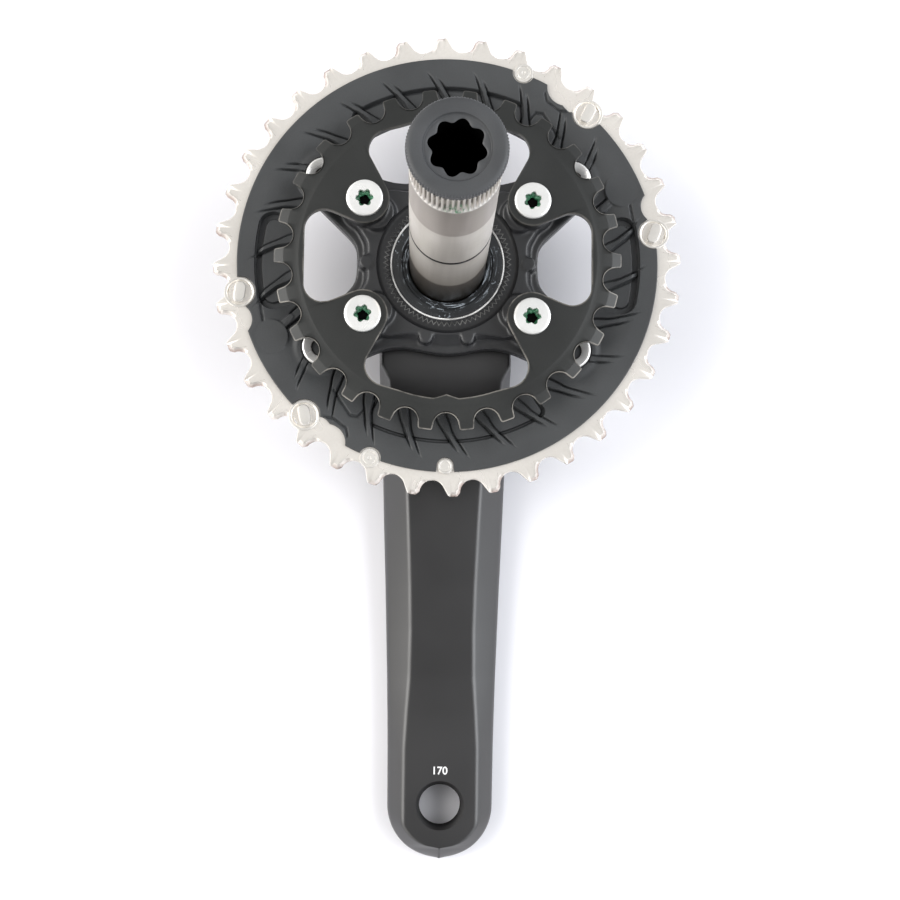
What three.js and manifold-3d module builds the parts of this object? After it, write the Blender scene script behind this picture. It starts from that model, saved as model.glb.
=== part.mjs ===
// Bicycle crankset, drive side: crank arm, hollow spindle, four-arm spider, two chainrings and fasteners.
// Millimetres, +Z up. The origin is on the spindle's axis, at the hub's flat outer face. +Z runs along the
// spindle towards its free end, and the crank arm points along -Y.
import * as THREE from "three";
import { mergeVertices } from "three/addons/utils/BufferGeometryUtils.js";
import Module from "manifold-3d";

const wasm = await Module();
wasm.setup();

// ---- driving dimensions ----
const CHAIN_PITCH = 12.7;
const ROLLER_SEAT_R = 3.95;
const FIT = 0.3;

const CRANK_LENGTH = 170;
const BOSS_INNER_Z = 12.1;
const ARM_END_R = 16.7;
const PEDAL_HOLE_R = 6.9;
const ARM_EDGE = 2.2;
const ARM_SIDE_LOW = 0.28;
const ARM_SIDE_HIGH = 0.56;
const ARM_FLAT_HALF = 11.8;
const ARM_FLAT_END = 13;
const ARM_END_DROOP = 1.1;
// Each entry: distance from the spindle's axis, half width, half width and height of the inner flat.
const ARM_STATIONS = [
  [12, 21.4, 20.6, 25.0],
  [28, 21.4, 20.6, 24.9],
  [31, 21.3, 20.6, 24.8],
  [36, 21.1, 17.9, 24.3],
  [46, 20.7, 16.8, 20.8],
  [56, 20.2, 13.6, 19.6],
  [65, 19.7, 12.2, 18.6],
  [80, 19.2, 11.4, 17.0],
  [100, 18.4, 10.5, 15.0],
  [115, 17.9, 10.1, 13.7],
  [130, 17.4, 10.3, 12.7],
  [142, 17.1, 11.2, 12.2],
  [152, 16.9, ARM_FLAT_HALF, BOSS_INNER_Z],
  [CRANK_LENGTH, ARM_END_R, ARM_FLAT_HALF, BOSS_INNER_Z],
];

const HUB_R = 23.5;
const HUB_EDGE = 2;
const HUB_TOP_Z = 25.2;
const NECK_R = 18;
const SHOULDER_R = 17.4;
const SHOULDER_INNER_R = 13.9;
const SHOULDER_Z = 32.9;
const SOCKET_FLOOR_Z = 7.7;

const SPINDLE_R = 12;
const SPINDLE_BORE_R = 9.5;
const SPINDLE_END_Z = 157;
const SPLINE_COUNT = 28;
const SPLINE_DEPTH = 0.6;
const SPLINE_LOW_Z = 142.4;
const GROOVE_Z = 85.6;
const GROOVE_W = 1.2;

const CAP_R = 12.9;
const CAP_TOP_Z = 160.4;
const CAP_SHANK_Z = 148;
const CAP_KNURLS = 36;
const CAP_LOBES = 8;
const CAP_SOCKET_R = 6.95;
const CAP_LOBE_DEPTH = 0.6;
const CAP_LOBE_PHASE = THREE.MathUtils.degToRad(-12);
const CAP_DISH_R = 8.8;
const CAP_DISH_DEPTH = 0.7;

const BOLT_ANGLE = THREE.MathUtils.degToRad(34.87);
const INNER_BOLT_R = 32;
const OUTER_BOLT_R = 48;
const INNER_HEAD_R = 5.75;
const INNER_HEAD_Z = [42.45, 43.6];
const INNER_SHANK_R = 4;
const INNER_SHANK_Z = 31;
const INNER_SOCKET = [1.97, 2.73];
const INNER_SOCKET_DEPTH = 3.2;
const NUT_FLANGE_R = 5.8;
const NUT_FLANGE_Z = [34.2, 35.6];
const NUT_SLEEVE_R = 4.7;
const NUT_BORE_R = 3.4;
const NUT_LOW_Z = 26.4;
const OUTER_HEAD_R = 5.6;
const OUTER_HEAD_Z = [23.7, 25.2];
const OUTER_SHANK_R = 3.1;
const OUTER_SHANK_TOP_Z = 32.6;
const OUTER_KEY_R = 2.5;

const RING_Z = [32.1, 34.1];
const RING_TEETH = 36;
const RING_TIP_R = 73.9;
const RING_TIP = [-1.4, 1.7];
const RING_FLANKS = [86, 58];
const RING_INNER_R = 60.6;
const RING_TOOTH_PHASE = THREE.MathUtils.degToRad(-88.1);

const CARRIER_Z = [30.9, 35.1];
const CARRIER_R = 66.3;
const CARRIER_INNER_R = 47.5;
const CARRIER_EAR_R = 7.8;
const POCKET_DEPTH = 2.4;
// Each entry: the pocket's first and last angle in degrees, and the radius of its outer wall.
const POCKETS = [[58, 122, 56.4], [238, 302, 56.4], [-15, 15, 59.3], [165, 195, 59.3]];
// Each entry: the angle and radius of a round bite from the carrier's edge, and the bite's own radius.
const EDGE_BITES = [[57.2, 68.6, 6.0], [53.4, 67.4, 4.7], [16.2, 69.3, 5.5]];
const RIB_COUNT = 26;
const RIB_W = 1.5;
const RIB_END_R = 61;
const RIB_PHASE = THREE.MathUtils.degToRad(90.3);
const RIB_LEAN = THREE.MathUtils.degToRad(4.5);

const SMALL_Z = [40.1, 42.15];
const SMALL_TEETH = 26;
const SMALL_TIP_R = 54.25;
const SMALL_TIP = [-2.2, 2.2];
const SMALL_FLANKS = [74, 70];
const SMALL_BAND_R = 44.4;
const SMALL_TAB_R = 7.8;

const SPIDER_Z = 25.5;
const SPIDER_ARM_Z = 30.6;
const SPIDER_WEB_Z = 34.6;
const SPIDER_COLLAR_R = 22.2;
const SPIDER_COLLAR_Z = 33.4;
const SPIDER_PAD_R = 7.5;
const SPIDER_EAR_R = 8;
const SPIDER_BOSS_R = 2.2;
const SPIDER_BOSSES = [[25.6, 0], [-25.6, 0], [6.6, -23.8], [-6.6, -23.8]];
const GUTTER_W = 0.8;

const PIN_SHANK_R = 1.6;
const PIN_RADIUS = 66;
const PIN_LOBE_R = 5.2;
const PIN_BOSS_R = 4.8;
const PIN_HEAD = [4, 6.6];
const PIN_TOP_Z = 35.9;
const PIN_ANGLES = [48.1, 9.1, 228.1, 189.1];
const PIN_LEANS = [-28, -20, 12, -8];
const RIVET_RADIUS = 66.6;
const RIVET_ANGLES = [69.3, 249.3];
const RIVET_LOBE_R = 3.5;
const RIVET_HEAD_R = 3.1;
const RIVET_TOP_Z = 35;
const DROP_PIN_RADIUS = 64.6;
const DROP_PIN_LOBE_R = 2.8;
const DROP_PIN_POST_R = 2.2;
const DROP_PIN_END_Z = 21.5;
const DROP_PIN_TOP_Z = 35.2;

const TURN = 2 * Math.PI;

// ---- colours ----
const COLOURS = {
  arm: [0x4a4849, 0.45, 0.6],
  spider: [0x4e5053, 0.5, 0.55],
  steel: [0xc4bfba, 0.3, 1.0],
  capPlastic: [0x5c5d60, 0.6, 0.0],
  carrier: [0x56575a, 0.75, 0.0],
  toothSteel: [0xe6e1da, 0.35, 1.0],
  smallRing: [0x464845, 0.4, 0.6],
  bolt: [0xd8d6d2, 0.25, 1.0],
};

// ---- solids ----
function toSolid(geometry) {
  const bare = geometry.clone();
  bare.deleteAttribute("normal");
  bare.deleteAttribute("uv");
  const merged = mergeVertices(bare, 1e-4);
  const vertProperties = new Float32Array(merged.attributes.position.array);
  const triVerts = new Uint32Array(merged.index.array);
  return new wasm.Manifold(new wasm.Mesh({ numProp: 3, vertProperties, triVerts }));
}

function toGeometry(solid) {
  const mesh = solid.getMesh();
  const geometry = new THREE.BufferGeometry();
  geometry.setAttribute("position", new THREE.BufferAttribute(new Float32Array(mesh.vertProperties), 3));
  geometry.setIndex(new THREE.BufferAttribute(new Uint32Array(mesh.triVerts), 1));
  geometry.computeVertexNormals();
  return geometry;
}

function disc(radius, low, high, x = 0, y = 0, segments = 24) {
  const geometry = new THREE.CylinderGeometry(radius, radius, high - low, segments);
  geometry.rotateX(Math.PI / 2);
  geometry.translate(x, y, (low + high) / 2);
  return toSolid(geometry);
}

function prism(shape, low, high, curveSegments = 8) {
  const options = { depth: high - low, bevelEnabled: false, curveSegments };
  const geometry = new THREE.ExtrudeGeometry(shape, options);
  geometry.translate(0, 0, low);
  return toSolid(geometry);
}

// A profile runs [radius, z] anticlockwise, from the axis at the bottom to the axis at the top, or closes.
function turned(profile, segments = 36) {
  const points = profile.map(([radius, z]) => new THREE.Vector2(radius, z));
  const geometry = new THREE.LatheGeometry(points, segments);
  geometry.rotateX(Math.PI / 2);
  return toSolid(geometry);
}

function joined(solids) {
  return solids.reduce((whole, solid) => whole.add(solid));
}

function cut(solid, tools) {
  return tools.reduce((whole, tool) => whole.subtract(tool), solid);
}

function polar(radius, angle) {
  return [radius * Math.cos(angle), radius * Math.sin(angle)];
}

function arc(cx, cy, radius, from, to, steps) {
  const points = [];
  for (let i = 0; i <= steps; i++) {
    const angle = THREE.MathUtils.degToRad(from + ((to - from) * i) / steps);
    points.push([cx + radius * Math.cos(angle), cy + radius * Math.sin(angle)]);
  }
  return points;
}

// A closed outline that is the same in all four quadrants, from its points in the first one, anticlockwise.
function fourfold(quarter) {
  const second = quarter.map(([x, y]) => [-x, y]).reverse();
  const upper = [...quarter, ...second];
  const lower = upper.map(([x, y]) => [-x, -y]);
  const outline = [...upper, ...lower];
  return outline.filter(([x, y], i) => {
    const [px, py] = outline[(i + outline.length - 1) % outline.length];
    return Math.hypot(x - px, y - py) > 0.05;
  });
}

function shapeOf(points) {
  return new THREE.Shape(points.map(([x, y]) => new THREE.Vector2(x, y)));
}

function boltSpots(radius) {
  const angles = [Math.PI - BOLT_ANGLE, BOLT_ANGLE, Math.PI + BOLT_ANGLE, -BOLT_ANGLE];
  return angles.map((angle) => polar(radius, angle));
}

// A sprocket outline: a roller seat at each gap, and a leaning tooth with a flat tip between two gaps.
// The tip runs from its first to its second offset, and the flanks leave the seat at their two angles.
function toothedOutline(teeth, tipRadius, [tipStart, tipEnd], [steep, slanted], toothPhase) {
  const pitchRadius = CHAIN_PITCH / 2 / Math.sin(Math.PI / teeth);
  const step = TURN / teeth;
  const points = [];
  for (let tooth = 0; tooth < teeth; tooth++) {
    const centre = toothPhase + tooth * step;
    points.push(polar(tipRadius, centre + tipStart / tipRadius));
    points.push(polar(tipRadius, centre + tipEnd / tipRadius));
    const gap = centre + step / 2;
    const [seatX, seatY] = polar(pitchRadius, gap);
    const inward = THREE.MathUtils.radToDeg(gap) + 180;
    points.push(...arc(seatX, seatY, ROLLER_SEAT_R, inward + steep, inward - slanted, 4));
  }
  return points;
}

// ---- crank arm ----
function armSection(distance, halfWidth, flatHalf, height) {
  const foot = Math.max(halfWidth - ARM_EDGE, 0.4 * halfWidth);
  const low = ARM_SIDE_LOW * height;
  const high = ARM_SIDE_HIGH * height;
  const right = [[foot, 0], [halfWidth, low], [halfWidth, high], [flatHalf, height]];
  const left = right.map(([x, z]) => [-x, z]).reverse();
  return [...right, ...left].map(([x, z]) => [x, -distance, z]);
}

function loft(sections) {
  const size = sections[0].length;
  const indices = [];
  for (let s = 0; s + 1 < sections.length; s++) {
    for (let i = 0; i < size; i++) {
      const a = s * size + i;
      const b = s * size + ((i + 1) % size);
      indices.push(a, b, a + size, b, b + size, a + size);
    }
  }
  const last = (sections.length - 1) * size;
  for (let i = 1; i + 1 < size; i++) {
    indices.push(0, i + 1, i);
    indices.push(last, last + i, last + i + 1);
  }
  const geometry = new THREE.BufferGeometry();
  geometry.setAttribute("position", new THREE.Float32BufferAttribute(sections.flat(2), 3));
  geometry.setIndex(indices);
  return toSolid(geometry);
}

function armBeam() {
  const sections = ARM_STATIONS.map((station) => armSection(...station));
  for (const degrees of [15, 30, 43, 55, 66, 76, 84]) {
    const angle = THREE.MathUtils.degToRad(degrees);
    const past = ARM_END_R * Math.sin(angle);
    const halfWidth = ARM_END_R * Math.cos(angle);
    const inside = Math.max(ARM_FLAT_END ** 2 - past ** 2, 0.1);
    const flat = Math.min(ARM_FLAT_HALF, Math.sqrt(inside), 0.8 * halfWidth);
    const droop = Math.max(past - ARM_FLAT_END, 0) * ARM_END_DROOP;
    sections.push(armSection(CRANK_LENGTH + past, halfWidth, flat, BOSS_INNER_Z - droop));
  }
  return loft(sections);
}

function crankArm() {
  const hub = turned([
    [0, 0], [HUB_R - HUB_EDGE, 0], [HUB_R, HUB_EDGE], [HUB_R, HUB_TOP_Z], [NECK_R, HUB_TOP_Z],
    [NECK_R, SHOULDER_Z - 0.6], [SHOULDER_R, SHOULDER_Z], [0, SHOULDER_Z],
  ]);
  const socket = turned([
    [0, SOCKET_FLOOR_Z], [SPINDLE_R + FIT, SOCKET_FLOOR_Z], [SPINDLE_R + FIT, SHOULDER_Z - 1.4],
    [SHOULDER_INNER_R, SHOULDER_Z - 0.9], [SHOULDER_INNER_R, SHOULDER_Z + 1], [0, SHOULDER_Z + 1],
  ]);
  const pedalHole = disc(PEDAL_HOLE_R, -1, BOSS_INNER_Z + 1, 0, -CRANK_LENGTH, 40);
  return cut(joined([armBeam(), hub]), [socket, pedalHole]);
}

// ---- spindle and preload cap ----
function spindle() {
  const tube = turned([
    [SPINDLE_BORE_R, SOCKET_FLOOR_Z + FIT], [SPINDLE_R, SOCKET_FLOOR_Z + FIT],
    [SPINDLE_R, GROOVE_Z - GROOVE_W / 2], [SPINDLE_R - 0.4, GROOVE_Z - GROOVE_W / 2],
    [SPINDLE_R - 0.4, GROOVE_Z + GROOVE_W / 2], [SPINDLE_R, GROOVE_Z + GROOVE_W / 2],
    [SPINDLE_R, SPLINE_LOW_Z], [SPINDLE_R - SPLINE_DEPTH, SPLINE_LOW_Z + 1],
    [SPINDLE_R - SPLINE_DEPTH, SPINDLE_END_Z], [SPINDLE_BORE_R, SPINDLE_END_Z],
    [SPINDLE_BORE_R, SOCKET_FLOOR_Z + FIT],
  ], 28);
  const points = [];
  for (let i = 0; i < SPLINE_COUNT; i++) {
    const angle = (TURN * i) / SPLINE_COUNT;
    points.push(polar(SPINDLE_R - 2 * SPLINE_DEPTH, angle));
    points.push(polar(SPINDLE_R, angle + TURN / SPLINE_COUNT / 2));
  }
  const crests = prism(shapeOf(points), SPLINE_LOW_Z, SPINDLE_END_Z);
  const bore = disc(SPINDLE_BORE_R, SPLINE_LOW_Z - 1, SPINDLE_END_Z + 1, 0, 0, 28);
  return tube.add(cut(crests, [bore]));
}

function preloadCap() {
  const rim = [];
  for (let i = 0; i < CAP_KNURLS; i++) {
    const angle = (TURN * i) / CAP_KNURLS;
    rim.push(polar(CAP_R, angle), polar(CAP_R - 0.4, angle + TURN / CAP_KNURLS / 2));
  }
  const star = [];
  const steps = CAP_LOBES * 4;
  for (let i = 0; i < steps; i++) {
    const angle = (TURN * i) / steps;
    star.push(polar(CAP_SOCKET_R + CAP_LOBE_DEPTH * Math.cos(CAP_LOBES * angle), angle + CAP_LOBE_PHASE));
  }
  const head = prism(shapeOf(rim), SPINDLE_END_Z + FIT, CAP_TOP_Z);
  const shank = disc(SPINDLE_BORE_R - FIT, CAP_SHANK_Z, SPINDLE_END_Z + 1, 0, 0, 28);
  const socket = prism(shapeOf(star), CAP_SHANK_Z - 1, CAP_TOP_Z + 1);
  const dishFloor = CAP_TOP_Z - CAP_DISH_DEPTH;
  const dish = turned([
    [0, dishFloor], [CAP_DISH_R - 0.6, dishFloor], [CAP_DISH_R, CAP_TOP_Z + 0.1], [0, CAP_TOP_Z + 0.1],
  ], 28);
  return cut(joined([head, shank]), [socket, dish]);
}

// ---- spider ----
function spider() {
  const [earX, earY] = polar(OUTER_BOLT_R, BOLT_ANGLE);
  const [padX, padY] = polar(INNER_BOLT_R, BOLT_ANGLE);
  const armOutline = shapeOf(fourfold([
    [28.8, 0.5], [29.2, 5.2], [30.6, 7.6],
    ...arc(earX, earY, SPIDER_EAR_R, -46, 118, 7),
    [27.5, 30.8], [21.5, 28.0], [17, 26.8], [13, 26.6], [9, 27.2], [5, 28.0], [0.5, 28.5],
  ]));
  const webOutline = shapeOf(fourfold([
    [25.5, 0.5], [25.7, 6.5], [28.6, 10.9],
    ...arc(padX, padY, SPIDER_PAD_R, -60, 140, 5),
    [17.6, 23.8], [12, 23.4], [6, 24.0], [0.5, 24.4],
  ]));
  const padTop = SMALL_Z[0] - FIT;
  const pads = boltSpots(INNER_BOLT_R).map(([x, y]) => disc(SPIDER_PAD_R, SPIDER_ARM_Z, padTop, x, y, 20));
  const bossTop = SPIDER_WEB_Z + 0.5;
  const bosses = SPIDER_BOSSES.map(([x, y]) => disc(SPIDER_BOSS_R, SPIDER_ARM_Z, bossTop, x, y, 10));
  const body = joined([
    prism(armOutline, SPIDER_Z, SPIDER_ARM_Z),
    prism(webOutline, SPIDER_ARM_Z - 1, SPIDER_WEB_Z),
    disc(SPIDER_COLLAR_R, SPIDER_Z, SPIDER_COLLAR_Z, 0, 0, 36),
    ...pads,
    ...bosses,
  ]);
  const inner = SPIDER_COLLAR_R - 0.01;
  const outer = SPIDER_COLLAR_R + GUTTER_W;
  const top = SPIDER_WEB_Z + 0.01;
  const gutter = turned([
    [inner, SPIDER_COLLAR_Z], [outer, SPIDER_COLLAR_Z], [outer, top], [inner, top], [inner, SPIDER_COLLAR_Z],
  ]);
  const crown = disc(SPIDER_COLLAR_R, SPIDER_COLLAR_Z, SPIDER_WEB_Z + 1, 0, 0, 36);
  const bore = disc(NECK_R + FIT, SPIDER_Z - 1, SPIDER_WEB_Z + 1, 0, 0, 36);
  const boltHoleR = INNER_SHANK_R + FIT;
  const boltHoles = boltSpots(INNER_BOLT_R).map(([x, y]) => disc(boltHoleR, 29, SMALL_Z[0], x, y, 14));
  const sleeveHoleR = NUT_SLEEVE_R + FIT;
  const sleeveHoles = boltSpots(OUTER_BOLT_R).map(([x, y]) => {
    return disc(sleeveHoleR, SPIDER_Z - 1, SPIDER_ARM_Z + 1, x, y, 16);
  });
  return cut(body, [gutter, crown, bore, ...boltHoles, ...sleeveHoles]);
}

// ---- big chainring: steel tooth ring in a composite carrier ----
function bigRing() {
  const outline = toothedOutline(RING_TEETH, RING_TIP_R, RING_TIP, RING_FLANKS, RING_TOOTH_PHASE);
  const centre = disc(RING_INNER_R, RING_Z[0] - 1, RING_Z[1] + 1, 0, 0, 72);
  const holes = pinSpots().map(([x, y]) => disc(PIN_SHANK_R + FIT, RING_Z[0] - 1, RING_Z[1] + 1, x, y, 10));
  return cut(prism(shapeOf(outline), ...RING_Z), [centre, ...holes]);
}

function rivetSpots() {
  return RIVET_ANGLES.map((angle) => polar(RIVET_RADIUS, THREE.MathUtils.degToRad(angle)));
}

function pinSpots() {
  const pins = PIN_ANGLES.map((angle) => polar(PIN_RADIUS, THREE.MathUtils.degToRad(angle)));
  return [...pins, ...rivetSpots(), [0, -DROP_PIN_RADIUS]];
}

function pocket([from, to, wall], low, high) {
  const steps = Math.ceil((to - from) / 8);
  const outer = arc(0, 0, wall, from, to, steps);
  const inner = arc(0, 0, CARRIER_INNER_R - 1, to, from, steps);
  return prism(shapeOf([...outer, ...inner]), low, high);
}

function crossesPocket(angle) {
  return POCKETS.some(([from, to]) => {
    const middle = THREE.MathUtils.degToRad((from + to) / 2);
    const half = THREE.MathUtils.degToRad((to - from) / 2 - 1);
    return Math.cos(angle - middle) > Math.cos(half);
  });
}

function rib(angle, low, high) {
  const [x0, y0] = polar(CARRIER_INNER_R + 0.4, angle - RIB_LEAN * 0.6);
  const [x1, y1] = polar(RIB_END_R, angle + RIB_LEAN);
  const length = Math.hypot(x1 - x0, y1 - y0);
  const geometry = new THREE.BoxGeometry(length, RIB_W, high - low);
  geometry.rotateZ(Math.atan2(y1 - y0, x1 - x0));
  geometry.translate((x0 + x1) / 2, (y0 + y1) / 2, (low + high) / 2);
  return toSolid(geometry);
}

function ringCarrier() {
  const [low, high] = CARRIER_Z;
  const ears = boltSpots(OUTER_BOLT_R).map(([x, y]) => disc(CARRIER_EAR_R, low, high, x, y, 24));
  const inside = disc(CARRIER_INNER_R, low - 1, high + 1, 0, 0, 72);
  const plate = cut(disc(CARRIER_R, low, high, 0, 0, 72), [inside]);
  const floor = high - POCKET_DEPTH;
  const pockets = POCKETS.map((sector) => pocket(sector, floor, high + 1));
  const ribs = [];
  for (let i = 0; i < RIB_COUNT; i++) {
    const angle = RIB_PHASE + (TURN * i) / RIB_COUNT;
    if (crossesPocket(angle)) {
      ribs.push(rib(angle, floor - 0.2, high));
    }
  }
  const groove = cut(disc(RING_TIP_R + 1, RING_Z[0] - FIT, RING_Z[1] + FIT, 0, 0, 72), [
    disc(RING_INNER_R - FIT, low, high, 0, 0, 72),
  ]);
  const edge = [];
  for (const half of [0, 180]) {
    for (const [angle, radius, size] of EDGE_BITES) {
      edge.push([...polar(radius, THREE.MathUtils.degToRad(angle + half)), size]);
    }
  }
  pinSpots().slice(0, PIN_ANGLES.length).forEach((spot) => edge.push([...spot, PIN_LOBE_R]));
  rivetSpots().forEach((spot) => edge.push([...spot, RIVET_LOBE_R]));
  const bites = edge.map(([x, y, size]) => disc(size, RING_Z[1], high + 1, x, y, 18));
  const dropLobe = disc(DROP_PIN_LOBE_R, low - 1, high + 1, 0, -DROP_PIN_RADIUS, 16);
  const sleeveHoles = boltSpots(OUTER_BOLT_R).map(([x, y]) => {
    return disc(NUT_SLEEVE_R + FIT, low - 1, high + 1, x, y, 16);
  });
  const counterbores = boltSpots(OUTER_BOLT_R).map(([x, y]) => {
    return disc(NUT_FLANGE_R + FIT, NUT_FLANGE_Z[0] - FIT, high + 1, x, y, 18);
  });
  const body = cut(joined([plate, ...ears]), pockets);
  return cut(joined([body, ...ribs]), [groove, ...bites, dropLobe, ...sleeveHoles, ...counterbores]);
}

// ---- small chainring ----
function smallRing() {
  const phase = -Math.PI / 2 + Math.PI / SMALL_TEETH;
  const outline = shapeOf(toothedOutline(SMALL_TEETH, SMALL_TIP_R, SMALL_TIP, SMALL_FLANKS, phase));
  const [tabX, tabY] = polar(INNER_BOLT_R, BOLT_ANGLE);
  const opening = fourfold([
    [SMALL_BAND_R + 0.4, 0.5],
    ...arc(38.7, 8.5, 6.1, 5, 110, 5),
    ...arc(tabX, tabY, SMALL_TAB_R, -62, -205, 7),
    ...arc(18.6, 34, 6.6, -15, 78, 5),
    ...arc(0, 0, SMALL_BAND_R, 73, 89.5, 3),
  ]);
  outline.holes.push(new THREE.Path(opening.map(([x, y]) => new THREE.Vector2(x, y))));
  const markerBase = -SMALL_BAND_R - 0.5;
  const marker = prism(shapeOf([[-4, markerBase], [4, markerBase], [0, markerBase + 1.6]]), ...SMALL_Z);
  const holeR = INNER_SHANK_R + FIT;
  const holes = boltSpots(INNER_BOLT_R).map(([x, y]) => {
    return disc(holeR, SMALL_Z[0] - 1, SMALL_Z[1] + 1, x, y, 16);
  });
  return cut(prism(outline, ...SMALL_Z).add(marker), holes);
}

// ---- fasteners ----
function innerBolt([x, y]) {
  const [low, high] = INNER_HEAD_Z;
  const head = turned([
    [0, low], [INNER_HEAD_R, low], [INNER_HEAD_R, high - 0.3], [INNER_HEAD_R - 0.4, high], [0, high],
  ], 20);
  const shank = disc(INNER_SHANK_R, INNER_SHANK_Z, low + 0.2, 0, 0, 12);
  const lobes = [];
  for (let i = 0; i < 12; i++) {
    lobes.push(polar(INNER_SOCKET[i % 2], (TURN * i) / 12));
  }
  const socket = prism(shapeOf(lobes), high - INNER_SOCKET_DEPTH, high + 1);
  return cut(joined([head, shank]), [socket]).translate([x, y, 0]);
}

function outerNut([x, y]) {
  const [low, high] = NUT_FLANGE_Z;
  return turned([
    [NUT_BORE_R, NUT_LOW_Z], [NUT_SLEEVE_R, NUT_LOW_Z], [NUT_SLEEVE_R, low], [NUT_FLANGE_R, low],
    [NUT_FLANGE_R, high - 0.2], [NUT_FLANGE_R - 0.6, high], [NUT_BORE_R, high - 2], [NUT_BORE_R, NUT_LOW_Z],
  ], 16).translate([x, y, 0]);
}

function outerBolt([x, y]) {
  const [low, high] = OUTER_HEAD_Z;
  const head = turned([
    [0, low], [OUTER_HEAD_R - 0.4, low], [OUTER_HEAD_R, low + 0.4], [OUTER_HEAD_R, high], [0, high],
  ], 18);
  const shank = disc(OUTER_SHANK_R, high - 0.2, OUTER_SHANK_TOP_Z, 0, 0, 12);
  const key = disc(OUTER_KEY_R, low - 1, low + 1.9, 0, 0, 6);
  return cut(joined([head, shank]), [key]).translate([x, y, 0]);
}

// ---- shift pins, rivets and the chain drop pin on the big ring ----
// A flat-sided head on a round boss, with a shank through the ring.
function shiftPin(angleDegrees, leanDegrees) {
  const seat = RING_Z[1] + FIT;
  const [width, length] = PIN_HEAD;
  const bar = new THREE.BoxGeometry(width, length, PIN_TOP_Z - seat);
  bar.translate(0, 0, (PIN_TOP_Z + seat) / 2);
  const boss = disc(PIN_BOSS_R, seat, seat + 0.3);
  const shank = disc(PIN_SHANK_R, RING_Z[0] + 0.2, RING_Z[1] + 1, 0, 0, 10);
  const [x, y] = polar(PIN_RADIUS, THREE.MathUtils.degToRad(angleDegrees));
  return joined([toSolid(bar), boss, shank]).rotate([0, 0, leanDegrees]).translate([x, y, 0]);
}

function shiftRivet([x, y]) {
  const seat = RING_Z[1] + FIT;
  const head = turned([
    [0, seat], [RIVET_HEAD_R, seat], [RIVET_HEAD_R, RIVET_TOP_Z - 0.2], [RIVET_HEAD_R - 0.2, RIVET_TOP_Z],
    [0, RIVET_TOP_Z],
  ], 14);
  const shank = disc(PIN_SHANK_R, RING_Z[0] + 0.2, RING_Z[1] + 1, 0, 0, 10);
  return joined([head, shank]).translate([x, y, 0]);
}

function dropPin() {
  const top = disc(DROP_PIN_POST_R + 0.1, RING_Z[1] + FIT, DROP_PIN_TOP_Z, 0, 0, 12);
  const neck = disc(PIN_SHANK_R, RING_Z[0] - 1, RING_Z[1] + 1, 0, 0, 10);
  const post = turned([
    [0, DROP_PIN_END_Z], [DROP_PIN_POST_R - 0.5, DROP_PIN_END_Z], [DROP_PIN_POST_R, DROP_PIN_END_Z + 0.5],
    [DROP_PIN_POST_R, RING_Z[0] - FIT], [0, RING_Z[0] - FIT],
  ], 12);
  return joined([top, neck, post]).translate([0, -DROP_PIN_RADIUS, 0]);
}

// ---- assembly ----
const crankset = new THREE.Group();

function place(name, solid, [color, roughness, metalness]) {
  const material = new THREE.MeshStandardMaterial({ color, roughness, metalness });
  const mesh = new THREE.Mesh(toGeometry(solid), material);
  mesh.name = name;
  crankset.add(mesh);
}

place("crank_arm", crankArm(), COLOURS.arm);
place("spindle", spindle(), COLOURS.steel);
place("preload_cap", preloadCap(), COLOURS.capPlastic);
place("spider", spider(), COLOURS.spider);
place("outer_chainring", bigRing(), COLOURS.toothSteel);
place("outer_chainring_carrier", ringCarrier(), COLOURS.carrier);
place("inner_chainring", smallRing(), COLOURS.smallRing);
boltSpots(INNER_BOLT_R).forEach((spot, i) => {
  place(`inner_ring_bolt_${i + 1}`, innerBolt(spot), COLOURS.bolt);
});
boltSpots(OUTER_BOLT_R).forEach((spot, i) => {
  place(`outer_ring_nut_${i + 1}`, outerNut(spot), COLOURS.bolt);
});
boltSpots(OUTER_BOLT_R).forEach((spot, i) => {
  place(`outer_ring_bolt_${i + 1}`, outerBolt(spot), COLOURS.bolt);
});
PIN_ANGLES.forEach((angle, i) => {
  place(`shift_pin_${i + 1}`, shiftPin(angle, PIN_LEANS[i]), COLOURS.toothSteel);
});
rivetSpots().forEach((spot, i) => place(`shift_rivet_${i + 1}`, shiftRivet(spot), COLOURS.toothSteel));
place("chain_drop_pin", dropPin(), COLOURS.toothSteel);

export default crankset;
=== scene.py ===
import math

import bpy
import bmesh
import numpy as np
from mathutils import Matrix, Vector


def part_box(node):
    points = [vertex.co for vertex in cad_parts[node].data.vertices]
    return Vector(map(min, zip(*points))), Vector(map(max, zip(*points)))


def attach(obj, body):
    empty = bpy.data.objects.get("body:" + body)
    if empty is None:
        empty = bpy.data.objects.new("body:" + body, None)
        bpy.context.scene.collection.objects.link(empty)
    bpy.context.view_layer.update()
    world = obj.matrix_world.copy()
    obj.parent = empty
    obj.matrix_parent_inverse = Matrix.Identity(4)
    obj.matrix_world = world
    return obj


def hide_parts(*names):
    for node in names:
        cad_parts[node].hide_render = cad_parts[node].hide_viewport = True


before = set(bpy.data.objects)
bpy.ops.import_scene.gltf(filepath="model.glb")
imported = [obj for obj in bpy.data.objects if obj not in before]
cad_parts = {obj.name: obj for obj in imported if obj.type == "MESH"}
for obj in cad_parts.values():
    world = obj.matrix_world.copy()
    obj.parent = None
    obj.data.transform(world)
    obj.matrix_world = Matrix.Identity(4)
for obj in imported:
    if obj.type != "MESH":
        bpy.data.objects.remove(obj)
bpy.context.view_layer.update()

# Lengths are millimetres until a mesh is written, and Blender then holds metres, as materials and lights do.
# Each section starts with its own named sizes.
MM = 0.001
TURN = 2 * math.pi
AXIS_R = 0.001
CHAIN_PITCH = 12.7
ROLLER_SEAT_R = 3.95
BOLT_ANGLE = math.radians(34.87)
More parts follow.
